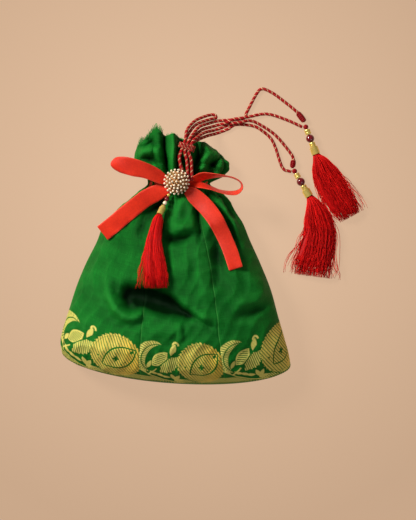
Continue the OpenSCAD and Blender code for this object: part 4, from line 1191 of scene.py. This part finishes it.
def coil(start, end, radius, spacing, swell):
    a, b = np.array(start, float), np.array(end, float)
    long = np.linalg.norm(b - a)
    line = a + (b - a) * np.linspace(0, 1, int(long / spacing * 18))[:, None]
    tangent, side, top = frames(line)
    t = np.linspace(0, 1, len(line))
    turn = 2 * math.pi * t * long / spacing
    reach = radius + swell * np.sin(math.pi * t) ** 0.6
    return line + (side * np.cos(turn)[:, None] + top * np.sin(turn)[:, None]) * reach[:, None]


windThread("upperWhipping", coil((107.6, 126.3, 3), (113.1, 119.2, 3), 1.75, 1.0, 0.5), "drawstring",
           "upper_whipping", 0.52)
windThread("lowerWhipping", coil((103.5, 84.4, 2.8), (102.7, 78.6, 2.8), 1.7, 1.0, 0.45), "drawstring",
           "lower_whipping", 0.52)


def wrappedKnot(name, node, body, centre, radius):
    # the cord tied over itself: one thread wound into a ball
    t = np.linspace(0, 1, 420)
    turn, tip = t * 2 * math.pi * 13, t * 2 * math.pi * 3
    x, y, z = np.cos(turn), np.sin(turn) * np.cos(tip), np.sin(turn) * np.sin(tip)
    line = np.stack([x, y, z], 1) * radius + np.array(centre)
    return windThread(name, line, body, node, radius * 0.3)


wrappedKnot("upperKnotThread", "upper_knot", "drawstring", (114.4, 114, 4), 1.75)
wrappedKnot("lowerKnotThread", "lower_knot", "drawstring", (104.5, 75, 4), 1.75)
wrappedKnot("frontKnotThread", "front_knot", "sack", (-5, 56, 26), 1.25)

casingSet = {"diameter": 2.6, "sides": 5, "inset": 2.7, "step": 0.9}
casing = Bundle()
casingRow = stationCurve(700)
for y in (67.4, 71):
    row = casingRow[[int(np.abs(casingRow[:, 0] - y).argmin())]]
    turn = np.radians(np.arange(86.5, 411.5, 7))
    x, yy, z = bodySection(row, turn)
    inset = casingSet["inset"]
    ring = np.stack([x[0] - inset * np.cos(turn), yy[0], z[0] + inset - 2 * inset * heightAt(turn)], 1)
    line = smoothLine(ring, casingSet["step"])
    twistedTubes(casing, line, casingSet["diameter"], cordSet["pitch"], plyKinds, casingSet["sides"])
casingCord = casing.piece("casingCord", [redYarn, goldYarn])
belong(casingCord, "sack", "casing_cord")
risers = Bundle()
for y, high in ((67.4, 26.1), (71, 22.9)):
    for x in (7.5, 10.7, 13.9):
        line = smoothLine([(x, y, 14.6), (x, y, high - 3), (x, y - 0.6, high)], 0.5)
        twistedTubes(risers, line, casingSet["diameter"], cordSet["pitch"], plyKinds, casingSet["sides"])
riser = risers.piece("casingCordEnds", [redYarn, goldYarn])
belong(riser, "sack", "casing_cord_ends")


# The brooch's pins stand in a domed bed of gold filigree
broochSet = {"centre": (0.7, 64.6, 28.9), "radius": 7.6, "flatten": 0.86}
clearSelection()
bpy.ops.mesh.primitive_ico_sphere_add(subdivisions=4, radius=broochSet["radius"] * mm, enter_editmode=True)
bpy.ops.transform.resize(value=(1, 1, broochSet["flatten"]))
bpy.ops.transform.translate(value=[c * mm for c in broochSet["centre"]])
bpy.ops.object.mode_set(mode="OBJECT")
bed = bpy.context.object
bed.name = "broochBed"
bed.data.materials.append(oldGold)
bed.data.polygons.foreach_set("use_smooth", [True] * len(bed.data.polygons))
belong(bed, "sack", "brooch_core")


# small gold seeds fill the spaces between the pins
seedSet = {"radius": 0.95, "at": 9.2, "centre": (0.7, 64.6, 29.5),
           "rings": ((5, 11), (9, 27), (13, 42.5), (18, 60), (20, 80))}
clearSelection()
bpy.ops.mesh.primitive_ico_sphere_add(subdivisions=2, radius=seedSet["radius"] * mm, enter_editmode=True,
                                      location=(0.7 * mm, 64.6 * mm, 38.7 * mm))
bpy.ops.object.mode_set(mode="OBJECT")
bpy.ops.object.transform_apply(location=True, rotation=True, scale=True)
seeds = bpy.context.object
seeds.name = "broochSeeds"
bpy.ops.object.mode_set(mode="EDIT")
for count, off in seedSet["rings"]:
    for k in range(count):
        turn, tip = math.radians(360 * (k + 0.5) / count + off * 3), math.radians(off)
        spot = Vector((math.sin(tip) * math.cos(turn), math.sin(tip) * math.sin(turn), math.cos(tip)))
        seat = (Vector(seedSet["centre"]) + spot * seedSet["at"]) * mm
        bpy.ops.mesh.primitive_ico_sphere_add(subdivisions=2, radius=seedSet["radius"] * mm, location=seat)
bpy.ops.object.mode_set(mode="OBJECT")
seeds.data.materials.append(oldGold)
seeds.data.polygons.foreach_set("use_smooth", [True] * len(seeds.data.polygons))
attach(seeds, "sack")


# Frayed threads at the raw edge of the mouth
def frayFinish():
    f = Finish("frayedSilk")
    coat = f.coat()
    noise = f.noise(coat, 500.0)
    return f.finish(Base_Color=f.mix(noise, linear(6, 84, 26), linear(60, 170, 70)), Roughness=0.6)


frayGreen = frayFinish()
rimLines = []
for piece, _, _ in panels[:3]:
    cols = sackSet["columnsFront"]
    outer = np.array([v.co for v in piece.data.vertices])[:sackSet["rows"] * cols] / mm
    rimLines.append(outer.reshape(sackSet["rows"], cols, 3)[-3:])
frayed = Bundle()
for edge in rimLines:
    for k in range(edge.shape[1]):
        root, out = edge[-1, k], unit(edge[-1, k] - edge[0, k])
        ragged = root[0] < -12
        for _ in range(3 if ragged else 1):
            if draw.uniform() > (0.9 if ragged else 0.45):
                continue
            reach = draw.uniform(0.8, 3.4) * (1.5 if ragged and root[1] > 98 else 1) * (1 if ragged else 0.5)
            lean = draw.normal(0, 0.35, 3) * (1, 1, 0.6)
            start = root + draw.normal(0, 0.25, 3)
            tip = start + out * reach + lean * 1.6
            bend = [start - out * 0.6, start + out * reach * 0.5 + lean * 0.4, tip]
            frayed.tube(smoothLine(bend, 0.7), 0.13, 3, 0)
fray = frayed.piece("frayedThreads", [frayGreen])
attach(fray, "sack")
print("stage: bindings, brooch bed and frayed edge")


# Light, floor
def areaLight(name, at, aim, size, power, colour):
    data = bpy.data.lights.new(name, "AREA")
    data.shape, data.size, data.energy, data.color = "DISK", size, power, colour
    lamp = bpy.data.objects.new(name, data)
    lamp.location = at
    lamp.rotation_euler = (Vector(aim) - Vector(at)).to_track_quat("-Z", "Y").to_euler()
    scene.collection.objects.link(lamp)


areaLight("key", (-1.05, 0.8, 0.95), (0, 0, 0), 0.5, 34, (1, 0.97, 0.93))
areaLight("fill", (0.9, -0.7, 1.5), (0, 0, 0), 1.4, 4, (0.95, 0.97, 1))
world = bpy.data.worlds.new("studio")
world.use_nodes = True
world.node_tree.nodes["Background"].inputs[0].default_value = (0.9, 0.95, 1, 1)
world.node_tree.nodes["Background"].inputs[1].default_value = 0.16
scene.world = world
scene.view_settings.view_transform = "Standard"

# the floor is painted lighter round the sack and darker towards its corners, a painted pool of light; it
# mostly glows with its own light
floorSet = {"half": 3.0, "middle": (226, 190, 158), "shadedCorner": (203, 169, 139)}
h = floorSet["half"]
floorMesh = bpy.data.meshes.new("floor")
floorMesh.from_pydata([(-h, -h, 0), (h, -h, 0), (h, h, 0), (-h, h, 0)], [], [(0, 1, 2, 3)])
floor = bpy.data.objects.new("floor", floorMesh)
scene.collection.objects.link(floor)
f = Finish("paleFloor")
coat = f.coat()
offset = f.node("VectorMath", {"operation": "SUBTRACT"}, [coat, (0.02, 0.05, 0.0)])
out = f.node("VectorMath", {"operation": "LENGTH"}, [offset], 1)
# painted pool of light: lighter in the middle, darker towards the corners
tone = f.mix(((out - 0.06) / 0.24).clamp(), linear(*floorSet["middle"]), linear(*floorSet["shadedCorner"]))
glow = f.node("Emission", {}, {"Color": tone, "Strength": 1.0})
matte = f.node("BsdfDiffuse", {}, {"Color": tone})
both = f.node("MixShader", {}, [0.12, glow, matte])
surface = f.tree.nodes.new("ShaderNodeOutputMaterial")
f.tree.links.new(both.socket, surface.inputs["Surface"])
floorMesh.materials.append(f.material)


# What hangs at the far end of each cord; the last loop only takes the smaller of each panel's area and its
# cut size
beadsOf = ("_stem", "_crown_beads", "_maroon_bead", "_ring_bead", "_cap")
farEnds = {name: ("object", []) for name in cords}
farEnds["upperLoopOut"] = ("knot", ["upperWhipping", "upperKnotThread"] + ["upper" + end for end in beadsOf])
farEnds["lowerLoopOut"] = ("knot", ["lowerWhipping", "lowerKnotThread"] + ["lower" + end for end in beadsOf])
for piece, area, (wide, long) in panels:
    min(area, wide * long)
